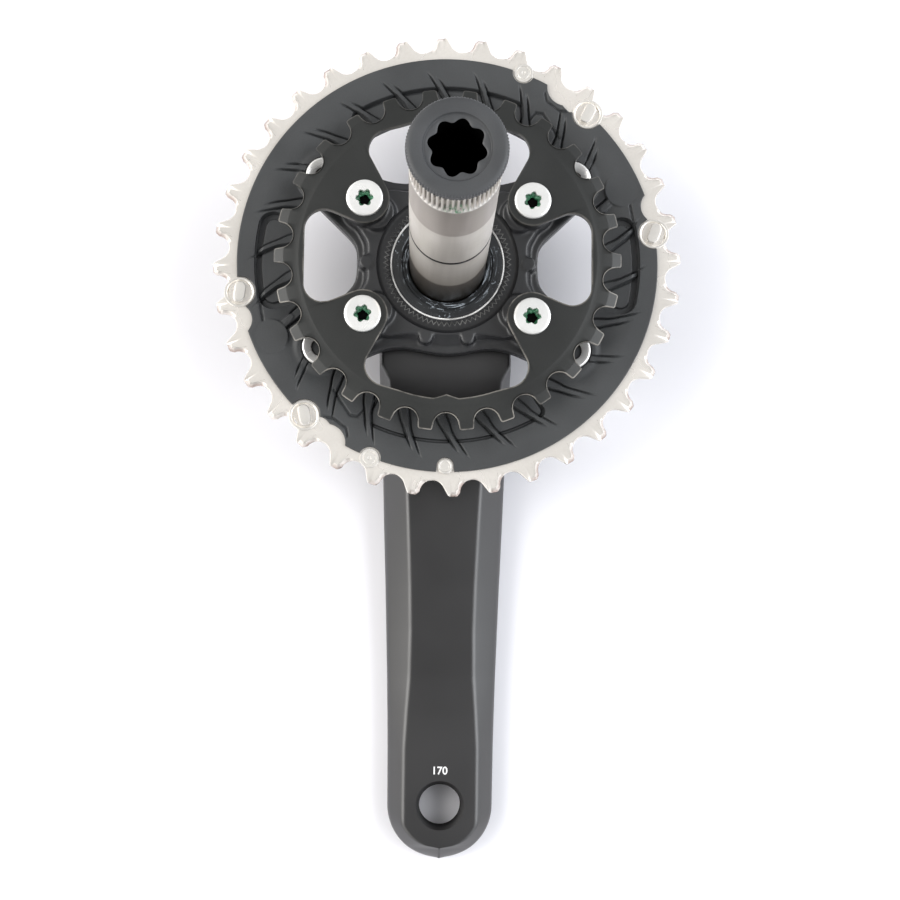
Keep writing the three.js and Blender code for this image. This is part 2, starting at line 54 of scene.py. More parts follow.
INNER_BOLT_R = 32.0
OUTER_BOLT_R = 48.0
CRANK_LENGTH = 170.0


def span(node):
    """Lowest and highest corner of a CAD node, in millimetres."""
    low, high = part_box(node)
    return np.array(low) / MM, np.array(high) / MM


SHOULDER_Z = span("crank_arm")[1][2]
RING_LOW, RING_HIGH = span("outer_chainring")
CARRIER_LOW, CARRIER_HIGH = span("outer_chainring_carrier")
SMALL_LOW, SMALL_HIGH = span("inner_chainring")
SPIDER_LOW, SPIDER_HIGH = span("spider")
SPINDLE_LOW, SPINDLE_HIGH = span("spindle")
CAP_LOW, CAP_HIGH = span("preload_cap")


# ---------------------------------------------------------------- mesh helpers
def placed(name, data):
    obj = bpy.data.objects.new(name, data)
    bpy.context.collection.objects.link(obj)
    return obj


def add_mesh(name, points, faces, crease=32.0, wear_and_painted_light=None):
    mesh = bpy.data.meshes.new(name)
    mesh.from_pydata((np.asarray(points, float) * MM).tolist(), [], faces)
    if wear_and_painted_light is not None:
        values = np.asarray(wear_and_painted_light, np.float32)
        mesh.attributes.new("wear_and_painted_light", "FLOAT", "POINT").data.foreach_set("value", values)
    work = bmesh.new()
    work.from_mesh(mesh)
    bmesh.ops.remove_doubles(work, verts=work.verts, dist=2e-6)
    bmesh.ops.dissolve_degenerate(work, edges=work.edges, dist=1e-6)
    if work.calc_volume(signed=True) < 0:
        bmesh.ops.reverse_faces(work, faces=work.faces)
    work.to_mesh(mesh)
    work.free()
    shade(mesh, crease)
    return placed(name, mesh)


def shade(mesh, crease):
    mesh.polygons.foreach_set("use_smooth", [True] * len(mesh.polygons))
    mesh.set_sharp_from_angle(angle=math.radians(crease))
    mesh.update()


def skin(loops, closed):
    """Quads between loops of equal length. A closed skin joins its ends, an open one is capped."""
    size = len(loops[0])
    points = np.concatenate(loops)
    faces = []
    for k in range(len(loops) if closed else len(loops) - 1):
        a = k * size
        b = ((k + 1) % len(loops)) * size
        for i in range(size):
            j = (i + 1) % size
            faces.append((a + i, a + j, b + j, b + i))
    if not closed:
        last = (len(loops) - 1) * size
        faces.append(tuple(reversed(range(size))))
        faces.append(tuple(range(last, last + size)))
    return points, faces


def add_skin(name, loops, closed=True, crease=32.0, wear_and_painted_light=None):
    """Wear and painted light has one entry per loop, a number or one per point: how far the surface turns to
    its second colour there. That colour is rubbed-off finish on the spider collar and the hub's spline ends,
    painted shade on the spindle's spline grooves and on the steel teeth's milled facets, and a painted
    highlight along the small ring's edges.
    """
    points, faces = skin(loops, closed)
    if wear_and_painted_light is not None:
        wear_and_painted_light = np.concatenate([np.broadcast_to(amount, len(loops[0])) for amount in wear_and_painted_light])
    return add_mesh(name, points, faces, crease, wear_and_painted_light)


def norms(points):
    return np.linalg.norm(points, axis=1)


def even_angles(count):
    return np.arange(count) * TURN / count


def polar(radius, angle):
    return np.stack([radius * np.cos(angle), radius * np.sin(angle)], 1)


def spot(radius, angle):
    return radius * math.cos(angle), radius * math.sin(angle)


def bolt_spots(radius):
    return [spot(radius, a) for a in (math.pi - BOLT_ANGLE, BOLT_ANGLE, math.pi + BOLT_ANGLE, -BOLT_ANGLE)]


def raised(outline, z):
    outline = np.asarray(outline, float)
    return np.column_stack([outline[:, :2], np.broadcast_to(z, len(outline))])


def circle(radius, z, count, x=0.0, y=0.0):
    return raised(polar(radius, even_angles(count)) + (x, y), z)


def turned(name, profile, count=96, x=0.0, y=0.0, closed=False, crease=32.0, base=0.0):
    """A round piece about a vertical line, from pairs of radius and height over its base."""
    loops = [circle(max(radius, AXIS_R), base + rise, count, x, y) for radius, rise in profile]
    return add_skin(name, loops, closed, crease)


def inset(outline, distance):
    """Moves a closed outline inwards, each point along its own normal. Anticlockwise outlines shrink."""
    outline = np.asarray(outline, float)[:, :2]
    tangent = unit_tangent(outline)
    return outline + np.stack([-tangent[:, 1], tangent[:, 0]], 1) * distance


def unit_tangent(outline):
    tangent = np.roll(outline, -1, 0) - np.roll(outline, 1, 0)
    return tangent / np.maximum(np.linalg.norm(tangent, axis=1, keepdims=True), 1e-9)


def arc(cx, cy, radius, start, end, steps):
    angle = np.radians(np.linspace(start, end, steps))
    return [(cx + radius * math.cos(a), cy + radius * math.sin(a)) for a in angle]


def resampled(points, count, closed=True):
    points = np.asarray(points, float)
    if closed:
        points = np.vstack([points, points[:1]])
    step = norms(np.diff(points, axis=0))
    along = np.concatenate([[0], np.cumsum(step)])
    at = np.linspace(0, along[-1], count, endpoint=not closed)
    return np.stack([np.interp(at, along, points[:, k]) for k in range(points.shape[1])], 1)


def rotated(points, angle):
    return points @ np.array([[math.cos(angle), math.sin(angle)], [-math.sin(angle), math.cos(angle)]])


def smoothed(outline, passes):
    outline = np.asarray(outline, float)
    for _ in range(passes):
        outline = 0.5 * outline + 0.25 * (np.roll(outline, 1, 0) + np.roll(outline, -1, 0))
    return outline


def smoothstep(low, high, value):
    t = np.clip((value - low) / (high - low), 0, 1)
    return t * t * (3 - 2 * t)


def plate_loops(outline, low, high, edge):
    """Loops of an open skin for a flat plate of any outline, with softened rims."""
    return [
        raised(inset(outline, edge), low), raised(inset(outline, edge * 0.3), low + edge * 0.3),
        raised(outline, low + edge), raised(outline, high - edge),
        raised(inset(outline, edge * 0.3), high - edge * 0.3), raised(inset(outline, edge), high),
    ]


def evaluated(obj):
    graph = bpy.context.evaluated_depsgraph_get()
    return bpy.data.meshes.new_from_object(obj.evaluated_get(graph))


def settle(obj):
    """Applies an object's modifiers."""
    mesh = evaluated(obj)
    obj.modifiers.clear()
    obj.data = mesh


def apply_boolean(obj, other, operation="DIFFERENCE"):
    modifier = obj.modifiers.new("cut", "BOOLEAN")
    modifier.operation = operation
    modifier.solver = "EXACT"
    modifier.object = other
    settle(obj)
    bpy.data.objects.remove(other)


def drill(obj, radius, low, high, count, x=0.0, y=0.0):
    profile = [(0, low), (radius, low), (radius, high), (0, high)]
    apply_boolean(obj, turned("cutter", profile, count, x, y))


def melted(name, parts, voxel, passes):
    """Joins overlapping solids into one skin with rounded inner corners, as a forging has."""
    work = bmesh.new()
    for part in parts:
        work.from_mesh(part.data)
        bpy.data.objects.remove(part)
    mesh = bpy.data.meshes.new(name)
    work.to_mesh(mesh)
    work.free()
    obj = placed(name, mesh)
    remesh = obj.modifiers.new("remesh", "REMESH")
    remesh.mode = "VOXEL"
    remesh.voxel_size = voxel * MM
    smooth = obj.modifiers.new("smooth", "SMOOTH")
    smooth.factor = 0.5
    smooth.iterations = passes
    settle(obj)
    shade(obj.data, 60)
    return obj


# ---------------------------------------------------------------- materials
OLD_GREEN = (0.12, 0.33, 0.17)


def new_material(name):
    material = bpy.data.materials.new(name)
    material.use_nodes = True
    return material, material.node_tree, material.node_tree.nodes["Principled BSDF"]


def add_node(tree, kind, inputs, **settings):
    """Adds a shader node. Each input is a socket to link or a value to set."""
    node = tree.nodes.new("ShaderNode" + kind)
    for name, value in settings.items():
        setattr(node, name, value)
    for name, value in inputs.items():
        if isinstance(value, bpy.types.NodeSocket):
            tree.links.new(value, node.inputs[name])
        else:
            node.inputs[name].default_value = value
    return node


def axes(tree, kind):
    place = add_node(tree, "TexCoord", {}).outputs[kind]
    return add_node(tree, "SeparateXYZ", {"Vector": place}).outputs


def coordinates(tree, scale=(1, 1, 1)):
    place = add_node(tree, "TexCoord", {}).outputs["Object"]
    return add_node(tree, "Mapping", {"Vector": place, "Scale": scale}).outputs["Vector"]


def noise(tree, vector, scale, detail=4.0, roughness=0.55):
    inputs = {"Vector": vector, "Scale": scale, "Detail": detail, "Roughness": roughness}
    return add_node(tree, "TexNoise", inputs).outputs["Fac"]


def ramp(tree, value, stops):
    """Stops are pairs of position and colour, where a single number is a grey."""
    node = add_node(tree, "ValToRGB", {"Fac": value})
    elements = node.color_ramp.elements
    while len(elements) < len(stops):
        elements.new(0.5)
    for element, (position, colour) in zip(elements, stops):
        element.position = position
        element.color = (*np.broadcast_to(colour, 3), 1.0)
    return node.outputs["Color"]


def ranged(tree, value, low, high, start=0.3, end=0.7):
    inputs = {"Value": value, "From Min": start, "From Max": end, "To Min": low, "To Max": high}
    return add_node(tree, "MapRange", inputs).outputs["Result"]


def mixed(tree, factor, a, b, blend="MIX"):
    a, b = [(*colour, 1.0) if isinstance(colour, tuple) else colour for colour in (a, b)]
    inputs = {"Factor": factor, "A": a, "B": b}
    return add_node(tree, "Mix", inputs, data_type="RGBA", blend_type=blend).outputs["Result"]


def darkened(tree, base, *layers):
    """Multiplies colours together."""
    for layer in layers:
        base = mixed(tree, 1.0, base, layer, "MULTIPLY")
    return base


def multiplied(tree, a, b):
    return add_node(tree, "Math", {0: a, 1: b}, operation="MULTIPLY").outputs["Value"]


def bumped(tree, shader, height, strength, distance):
    inputs = {"Height": height, "Strength": strength, "Distance": distance}
    tree.links.new(add_node(tree, "Bump", inputs).outputs["Normal"], shader.inputs["Normal"])


def finished(tree, shader, colour, roughness):
    tree.links.new(colour, shader.inputs["Base Color"])
    tree.links.new(roughness, shader.inputs["Roughness"])


def tinted(colour, factor):
    return tuple(channel * factor for channel in colour)


# The mesh's wear_and_painted_light value, broken into patches.
def wear_amount(tree, vector):
    worn_and_painted = add_node(tree, "Attribute", {}, attribute_name="wear_and_painted_light").outputs["Fac"]
    patchy = ranged(tree, noise(tree, vector, 160.0, 4.0, 0.6), 0.3, 1.0, 0.42, 0.54)
    return multiplied(tree, worn_and_painted, patchy)


def plain_finish(name, colour, metallic, rough, spread=0.12, grain=900.0, patch=60.0, bump=0.15, ior=1.5,
                 worn_and_painted=None):
    """A surface with a fine grain, wide colour patches and uneven gloss. Where the mesh carries a value in
    wear_and_painted_light it turns to its second colour, in patches: rubbed-off finish on the collar, painted
    shade on the steel teeth's milled facets and a painted highlight along the small ring's edges."""
    material, tree, shader = new_material(name)
    vector = coordinates(tree)
    fine = noise(tree, vector, grain, 6.0, 0.6)
    wide = noise(tree, vector, patch, 3.0, 0.5)
    tone = ramp(tree, wide, [(0.3, tinted(colour, 1 - spread)), (0.7, tinted(colour, 1 + spread))])
    base = darkened(tree, tone, ramp(tree, fine, [(0.35, 1 - spread), (0.65, 1.0)]))
    if worn_and_painted is not None:
        base = mixed(tree, wear_amount(tree, vector), base, worn_and_painted)
    finished(tree, shader, base, ranged(tree, wide, rough * 0.88, rough * 1.15))
    shader.inputs["Metallic"].default_value = metallic
    shader.inputs["IOR"].default_value = ior
    bumped(tree, shader, fine, bump, 0.0002)
    return material


def around_axis(tree, across, along):
    """Coordinates that run round the spindle's axis, on which stretched marks become arcs, and the radius."""
    split = axes(tree, "Object")
    flat = add_node(tree, "CombineXYZ", {"X": split["X"], "Y": split["Y"]}).outputs["Vector"]
    radius = add_node(tree, "VectorMath", {0: flat}, operation="LENGTH").outputs["Value"]
    angle = add_node(tree, "Math", {0: split["Y"], 1: split["X"]}, operation="ARCTAN2").outputs["Value"]
    both = add_node(tree, "CombineXYZ", {"X": radius, "Y": angle}).outputs["Vector"]
    scaled = add_node(tree, "Mapping", {"Vector": both, "Scale": (across, along, 1.0)})
    return scaled.outputs["Vector"], radius


def greased_finish(name, colour, rough, mark_colour, level, reach):
    """Black metal under a film of old grease, with pale arcs rubbed through it out to a radius in metres."""
    material, tree, shader = new_material(name)
    vector = coordinates(tree)
    rings, radius = around_axis(tree, 1700.0, 1.9)
    sectors, _ = around_axis(tree, 90.0, 1.5)
    wide = noise(tree, vector, 160.0, 4.0, 0.6)
    fine = noise(tree, vector, 900.0, 5.0, 0.65)
    arcs = noise(tree, rings, 1.0, 4.0, 0.6)
    zones = noise(tree, sectors, 1.0, 2.0, 0.5)
    tone = ramp(tree, wide, [(0.3, tinted(colour, 0.7)), (0.7, tinted(colour, 1.5))])
    lines = ramp(tree, arcs, [(level, 0.0), (level + 0.03, 1.0)])
    where = ramp(tree, zones, [(0.44, 0.0), (0.56, 1.0)])
    crumbs = ramp(tree, fine, [(0.60, 0.0), (0.66, 0.8)])
    near = ranged(tree, radius, 1.0, 0.0, reach - 0.0009, reach + 0.0003)
    rubbed = darkened(tree, lines, where, near)
    marks = mixed(tree, 1.0, rubbed, darkened(tree, crumbs, where), "ADD")
    base = mixed(tree, marks, tone, mark_colour)
    finished(tree, shader, base, ranged(tree, wide, rough * 0.8, rough * 1.5))
    bumped(tree, shader, arcs, 0.25, 0.0003)
    return material


def spindle_finish():
    """Ground steel with a darker clamp band, darker and browner towards the foot, painted shade in the groove
    and in the spline grooves, and a painted highlight at the splines' lower ends.
    """
    material, tree, shader = new_material("spindle_ground_steel")
    split = axes(tree, "Object")
    height = ranged(tree, split["Z"], 0.0, 1.0, 0.030, 0.160)
    steel = (0.87, 0.825, 0.765)
    dull = (0.56, 0.51, 0.47)
    # A painted highlight on the run-out at the splines' lower ends.
    spline_end_highlight = (0.95, 0.92, 0.88)
    # Painted shade in the groove, as a dark band about 2 mm wide, wider than the cut groove.
    groove = (0.012, 0.010, 0.009)
    bands = ramp(tree, height, [
        (0.0, (0.02, 0.018, 0.016)), (0.06, (0.05, 0.043, 0.036)), (0.19, (0.12, 0.10, 0.085)),
        (0.205, (0.46, 0.42, 0.37)), (0.38, steel), (0.4165, steel), (0.4175, groove), (0.4330, groove),
        (0.4335, steel), (0.668, steel), (0.674, dull), (0.855, dull), (0.862, spline_end_highlight), (0.876, spline_end_highlight),
        (0.885, steel),
    ])
    fine = noise(tree, coordinates(tree, (1, 1, 40)), 60.0, 3.0, 0.5)
    patches = noise(tree, coordinates(tree, (1, 1, 0.5)), 60.0, 2.0, 0.5)
    streaks = noise(tree, coordinates(tree, (1, 1, 0.06)), 150.0, 3.0, 0.6)
    blots = noise(tree, coordinates(tree, (1, 1, 0.6)), 420.0, 4.0, 0.6)
    grain = ramp(tree, fine, [(0.3, 0.93), (0.7, 1.0)])
    smear = ramp(tree, patches, [(0.35, (0.9, 0.89, 0.87)), (0.62, 1.0)])
    lengths = ramp(tree, streaks, [(0.36, (0.86, 0.855, 0.85)), (0.6, 1.0)])
    base = darkened(tree, bands, grain, smear, lengths)
    # Painted shade: the spline grooves turn dark brown where the mesh's wear_and_painted_light value is set.
    base = mixed(tree, wear_amount(tree, coordinates(tree)), base, (0.10, 0.085, 0.07))
    # Green thread lock smeared over the splines' lower ends, on the side of the crank arm.
    limits = (
        ("X", 1.0, 0.0, 0.0015, 0.0042), ("X", 0.0, 1.0, -0.0040, -0.0012), ("Y", 1.0, 0.0, -0.006, -0.004),
        ("Z", 0.0, 1.0, 0.1415, 0.1425), ("Z", 1.0, 0.0, 0.1460, 0.1485),
    )
    stain = ranged(tree, blots, 0.0, 0.9, 0.46, 0.56)
    for axis, *limit in limits:
        stain = multiplied(tree, stain, ranged(tree, split[axis], *limit))
    finished(tree, shader, mixed(tree, stain, base, OLD_GREEN), ranged(tree, patches, 0.30, 0.40))
    shader.inputs["Metallic"].default_value = 0.6
    shader.inputs["Anisotropic"].default_value = 0.6
    turned_marks = add_node(tree, "Tangent", {}, direction_type="RADIAL", axis="Z")
    tree.links.new(turned_marks.outputs["Tangent"], shader.inputs["Tangent"])
    bumped(tree, shader, fine, 0.03, 0.0002)
    return material


def thread_lock_finish():
    material, tree, shader = new_material("thread_lock_green")
    blotch = noise(tree, coordinates(tree), 900.0, 4.0, 0.6)
    green = ramp(tree, blotch, [(0.35, (0.004, 0.03, 0.013)), (0.52, (0.014, 0.12, 0.05)),
                                (0.68, (0.12, 0.28, 0.18))])
    finished(tree, shader, green, ranged(tree, blotch, 0.25, 0.6))
    bumped(tree, shader, blotch, 0.4, 0.0003)
    return material


BLACK_ANODISED = (0.0165, 0.017, 0.0185)
# name, colour, metallic, roughness, colour spread, grain scale, patch scale, bump, refraction, second colour
# for rubbed finish and painted light
ARM_FINISH = plain_finish("arm_black_anodised", (0.0065, 0.006, 0.0065), 0.0, 0.33, 0.1, 2400, 22, 0.05, 1.78)
SPIDER_FINISH = plain_finish("spider_black_anodised", BLACK_ANODISED, 0.0, 0.38, 0.1, 1500, 50, 0.08, 1.6)
# The small ring's second colour is a painted highlight along its edges.
SMALL_FINISH = plain_finish("small_ring_black", (0.0155, 0.0165, 0.0155), 0.15, 0.36, 0.12, 1800, 40, 0.06,
                            1.57, (0.30, 0.28, 0.25))
CARRIER_FINISH = plain_finish("carrier_composite", (0.038, 0.040, 0.0415), 0.0, 0.5, 0.1, 2200, 70, 0.15)
CAP_FINISH = plain_finish("cap_plastic", (0.046, 0.048, 0.051), 0.0, 0.5, 0.1, 2600, 90, 0.1)
# The tooth steel's second colour is painted shade for the milled facets.
TOOTH_STEEL = plain_finish("tooth_steel", (0.84, 0.80, 0.745), 0.6, 0.26, 0.05, 1600, 45, 0.06, 1.5,
                           (0.42, 0.34, 0.30))
PIN_STEEL = plain_finish("pin_steel", (0.84, 0.81, 0.76), 0.65, 0.24, 0.05, 1600, 80, 0.05)
BOLT_STEEL = plain_finish("bolt_plating", (0.94, 0.94, 0.92), 0.6, 0.25, 0.05, 1800, 80, 0.05)
NUT_METAL = plain_finish("nut_turned", (0.9, 0.89, 0.87), 0.55, 0.28, 0.05, 1800, 80, 0.05)
COLLAR_FINISH = plain_finish("collar_black", BLACK_ANODISED, 0.15, 0.38, 0.12, 1800, 40, 0.06, 1.6,
                             (0.62, 0.62, 0.6))
# Painted shade: a near-black brown that lines the sleeve nuts' holes.
BORE_SHADE = plain_finish("painted_bore_shade", (0.02, 0.014, 0.011), 0.2, 0.4, 0.2, 900, 300, 0.2)
# Painted shade: a flat black for the liners in the spindle and the cap and the floors of the bolt sockets.
SHADE_BLACK = plain_finish("painted_shade_black", (0.003, 0.003, 0.003), 0.0, 0.7, 0.3, 900, 300, 0.2, 1.12)
PRINT_WHITE = plain_finish("printed_white", (0.75, 0.75, 0.75), 0.0, 0.55, 0.05, 3000, 300, 0.05)
# name, colour, roughness, colour of the marks, where the marks start in the noise, how far out they reach
HUB_FACE = greased_finish("hub_face_greased", (0.010, 0.0115, 0.013), 0.42, (0.36, 0.40, 0.44), 0.555, 0.0156)
SWAGED_LIP = greased_finish("hub_swaged_lip", (0.50, 0.495, 0.485), 0.36, (0.97, 0.96, 0.94), 0.46, 0.03)
SPINDLE_STEEL = spindle_finish()
THREAD_LOCK = thread_lock_finish()


def dress(obj, material, slot, *nodes, body="crank"):
    obj.data.materials.clear()
    obj.data.materials.append(material)
    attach(obj, body)
    if nodes:
        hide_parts(*nodes)


# ---------------------------------------------------------------- crank arm
ARM_END_R = 16.7
ARM_FLAT_END = 13.2
OUTER_EDGE = 3.2
PEDAL_FLAT_HALF = 11.8
PEDAL_FLAT_Z = 12.1
PEDAL_BORE_R = 6.85
PEDAL_PITCH = 1.27
SOCKET_R = 12.3
SOCKET_FLOOR_Z = 7.7
LIP_R = 17.5
LENGTH_MARK_PLACE = (-0.2, -160.2, 12.115)
# Distance from the spindle axis, half width, half width of the inner flat, height of the inner flat.
ARM_STATIONS = np.array([
    (12, 21.4, 20.6, 25.0), (28, 21.4, 20.6, 24.9), (31, 21.3, 20.6, 24.8), (36, 21.1, 17.9, 24.3),
    (46, 20.7, 16.8, 20.8), (56, 20.2, 13.6, 19.6), (65, 19.7, 12.2, 18.6), (80, 19.2, 11.4, 17.0),
    (100, 18.4, 10.5, 15.0), (115, 17.9, 10.1, 13.7), (130, 17.4, 10.3, 12.6), (142, 17.1, 11.2, 12.15),
    (152, 16.9, PEDAL_FLAT_HALF, PEDAL_FLAT_Z), (CRANK_LENGTH, ARM_END_R, PEDAL_FLAT_HALF, PEDAL_FLAT_Z),
])


def rounded_polygon(corners, radii, steps):
    """Replaces each corner with a curve that starts and ends its own distance from the corner."""
    corners = np.asarray(corners, float)
    points = []
    for i, corner in enumerate(corners):
        before = corners[i - 1] - corner
        after = corners[(i + 1) % len(corners)] - corner
        reach = min(radii[i], 0.45 * np.linalg.norm(before), 0.45 * np.linalg.norm(after))
        start = corner + before / max(np.linalg.norm(before), 1e-6) * reach
        end = corner + after / max(np.linalg.norm(after), 1e-6) * reach
        for t in np.linspace(0, 1, steps):
            points.append((1 - t) ** 2 * start + 2 * t * (1 - t) * corner + t ** 2 * end)
    return np.array(points)


def arm_section(distance, half, flat, height):
    low = 0.30 * height
    high = 0.56 * height
    foot = max(half - OUTER_EDGE, 0.5 * half)
    right = [(foot, 0), (half, low), (half, high), (flat, height)]
    corners = right + [(-x, z) for x, z in reversed(right)]
    outline = rounded_polygon(corners, [2.4, 3.5, 3.2, 1.1, 1.1, 3.2, 3.5, 2.4], 6)
    return np.column_stack([outline[:, 0], np.full(len(outline), -distance), outline[:, 1]])


def arm_beam():
    steps = [np.arange(12, 28, 4.0), np.arange(56, CRANK_LENGTH, 3.0), ARM_STATIONS[:-1, 0]]
    distance = np.unique(np.concatenate(steps))
    table = [np.interp(distance, ARM_STATIONS[:, 0], ARM_STATIONS[:, k]) for k in (1, 2, 3)]
    sections = [arm_section(*row) for row in zip(distance, *table)]
    # The round end, as sections that shrink towards the tip.
    for angle in np.radians(np.linspace(0, 89.6, 25)):
        past = ARM_END_R * math.sin(angle)
        half = ARM_END_R * math.cos(angle)
        inside = ARM_FLAT_END ** 2 - past ** 2
        flat = min(PEDAL_FLAT_HALF, math.sqrt(inside)) if inside > 0 else 0.25
        droop = max(0.0, past - ARM_FLAT_END) * 1.2
        sections.append(arm_section(CRANK_LENGTH + past, half, min(flat, half * 0.86), PEDAL_FLAT_Z - droop))
    return add_skin("crank_arm_body", sections, closed=False)


def pedal_thread():
    low, high = -1, 14
    profile = [(0, low)]
    for z in np.cumsum([low] + [PEDAL_PITCH] * 11):
        profile += [(PEDAL_BORE_R - 0.25, z), (PEDAL_BORE_R + 0.25, z + PEDAL_PITCH / 2)]
    profile += [(PEDAL_BORE_R, high), (0, high)]
    return turned("cutter", profile, 72, 0.0, -CRANK_LENGTH)


def crank_arm():
    body = arm_beam()
    inside = SHOULDER_Z - 1.0
    hub = turned("hub", [
        (0, 0), (19.5, 0), (21.6, 0.35), (22.9, 1.3), (23.5, 2.8), (23.5, 22.6), (22.9, 24.3), (21.4, 25.1),
        (17.8, 25.2), (17.8, inside - 0.4), (17.3, inside), (0, inside),
    ], 144)
    apply_boolean(body, hub, "UNION")
    drill(body, SOCKET_R, SOCKET_FLOOR_Z, SHOULDER_Z + 1, 144)
    apply_boolean(body, pedal_thread())
    rim = [(0, 11.2), (6.9, 11.2), (8.1, 12.6), (0, 12.6)]
    apply_boolean(body, turned("cutter", rim, 72, 0.0, -CRANK_LENGTH))
    shade(body.data, 28)
    dress(body, ARM_FINISH, "arm_finish", "crank_arm")
    face = [
        (12.25, -2.0), (12.25, -0.95), (12.6, -0.6), (13.0, -0.55), (13.1, -0.7), (13.35, -0.7),
        (13.45, -0.45), (13.7, -0.4), (14.2, -0.4), (14.3, -0.08), (14.45, 0), (14.8, 0), (17.1, 0),
        (17.3, -0.02), (LIP_R, -0.2), (LIP_R, -2.0),
    ]
    lip = [(LIP_R, -2.0), (LIP_R, -0.05), (17.66, 0.17), (17.96, 0.17), (18.1, -0.1), (18.1, -2.0)]
    for name, profile, finish in (("hub_inner_face", face, HUB_FACE), ("hub_swaged_lip", lip, SWAGED_LIP)):
        piece = turned(name, profile, 180, closed=True, base=SHOULDER_Z)
        dress(piece, finish, "arm_finish")


def length_mark():
    """The crank length in millimetres, printed by the pedal hole."""
    curve = bpy.data.curves.new("length_mark", "FONT")
    curve.body = str(int(CRANK_LENGTH))
    curve.size = 3.4 * MM
    curve.align_x = "CENTER"
    curve.extrude = 0.012 * MM
    curve.offset = 0.06 * MM
    obj = placed("length_mark_curve", curve)
    mesh = evaluated(obj)
    mesh.transform(Matrix.Translation(Vector(LENGTH_MARK_PLACE) * MM))
    bpy.data.objects.remove(obj)
    dress(placed("length_mark", mesh), PRINT_WHITE, "arm_finish")


# ---------------------------------------------------------------- spindle and cap
SPLINES = 54
SPLINE_LOW_Z = 142.4
CLAMP_LOW_Z = 117.3
GROOVE_Z = 85.6
TUBE_R = 12.0
CLAMP_R = 11.97
SPLINE_DEPTH = 0.9
TUBE_BORE_R = 9.5
CAP_LOBES = 8
CAP_KNURLS = 96
CAP_HOLE_R = 6.95


def spindle():
    angle = even_angles(SPLINES * 10)
    crest = smoothstep(0.25, 0.75, 0.5 + 0.5 * np.cos(SPLINES * angle))
    low, top = SPINDLE_LOW[2], SPINDLE_HIGH[2]

    def ring(radius, z, depth=0.0):
        return raised(polar(radius - depth * (1 - crest), angle), z)

    outer = [ring(11.7, low)] + [ring(TUBE_R, z) for z in (low + 0.4, 30, 33, 45, GROOVE_Z - 0.42)]
    outer += [ring(11.6, GROOVE_Z - 0.3), ring(11.6, GROOVE_Z + 0.3), ring(TUBE_R, GROOVE_Z + 0.42)]
    outer += [ring(TUBE_R, CLAMP_LOW_Z), ring(CLAMP_R, CLAMP_LOW_Z + 0.2), ring(CLAMP_R, SPLINE_LOW_Z - 0.3)]
    outer += [ring(TUBE_R, SPLINE_LOW_Z), ring(TUBE_R, SPLINE_LOW_Z + 0.25, 0.25)]
    outer += [ring(TUBE_R, SPLINE_LOW_Z + 1.1, SPLINE_DEPTH), ring(TUBE_R, top - 0.8, SPLINE_DEPTH)]
    outer += [ring(11.4, top)]
    inner = [ring(9.9, top), ring(TUBE_BORE_R, top - 0.5), ring(TUBE_BORE_R, low)]
    # The spline grooves take painted shade through the mesh's wear_and_painted_light value.
    valley = 1 - crest
    grooves = [0.0] * (len(outer) - 4) + [0.2 * valley, valley, valley, 0.0] + [0.0] * len(inner)
    tube = add_skin("spindle_tube", outer + inner, True, 24, grooves)
    dress(tube, SPINDLE_STEEL, "spindle_steel", "spindle")
    # A black liner inside the spindle's bore is painted shade.
    film = [(9.44, low + 0.5), (9.44, top - 1), (9.3, top - 1), (9.3, low + 0.5)]
    dress(turned("spindle_bore_shade_liner", film, 96, closed=True), SHADE_BLACK, "spindle_steel")


def star(radius, depth, lobes, count, phase=0.0):
    angle = even_angles(count)
    wave = np.cos(lobes * (angle - phase))
    return polar(radius + depth * (wave - 0.16 * (wave ** 2 - 0.5)), angle)


def preload_cap():
    count = CAP_KNURLS * 8
    rim = CAP_HIGH[0]
    knurl = star(rim - 0.16, 0.13, CAP_KNURLS, count)
    plain = polar(rim - 0.45, even_angles(count))
    hole = star(CAP_HOLE_R, 0.6, CAP_LOBES, count, math.radians(-12))
    wide_hole = inset(hole, -0.35)
    top = CAP_HIGH[2]
    base = SPINDLE_HIGH[2] + 0.3
    loops = [
        circle(9.2, CAP_LOW[2], count), circle(9.2, base, count), raised(plain, base),
        raised(knurl, base + 0.35), raised(knurl, top - 0.75), raised(plain, top - 0.28),
        circle(rim - 1.0, top - 0.03, count), circle(rim - 1.6, top, count), circle(9.1, top, count),
        circle(8.75, top - 0.1, count), circle(8.45, top - 0.65, count), circle(8.3, top - 0.75, count),
        raised(wide_hole, top - 0.75), raised(hole, top - 0.95), raised(hole, top - 1.1),
        circle(8.4, top - 1.5, count), circle(8.4, CAP_LOW[2], count),
    ]
    dress(add_skin("preload_cap_body", loops, True, 30), CAP_FINISH, "cap_plastic", "preload_cap", body="cap")
    # A black liner inside the cap, under its star hole, is painted shade.
    film = turned("cap_bore_shade_liner", [
        (8.38, CAP_LOW[2] + 0.3), (8.38, top - 1.5), (7.6, top - 1.3), (7.6, top - 1.4), (8.28, top - 1.7),
        (8.28, CAP_LOW[2] + 0.3),
    ], 96, closed=True)
    dress(film, SHADE_BLACK, "cap_plastic", body="cap")


# ---------------------------------------------------------------- spider
WEB_LOW_Z = 31
WEB_TOP_Z = 34.4
ARM_TOP_Z = 30.6
BOLT_PAD_R = 7.3
SPIDER_BORE_R = 22.5
# Place and extra height of each small boss on the web.
BOSSES = ((25.6, 0, 0.3), (-25.6, 0, 0.3), (6.6, -23.6, 0.15), (-6.6, -23.6, 0.15))
SERRATIONS = 74
HUB_SPLINE_LOW = 26.0


def fourfold(quarter):
    quarter = np.asarray(quarter, float)
    second = (quarter * (-1, 1))[::-1]
    upper = np.vstack([quarter, second])
    outline = np.vstack([upper, -upper])
    gap = norms(outline - np.roll(outline, 1, 0))
    return outline[gap > 0.05]


def rounded_outline(outline):
    return smoothed(resampled(outline, 480), 6)


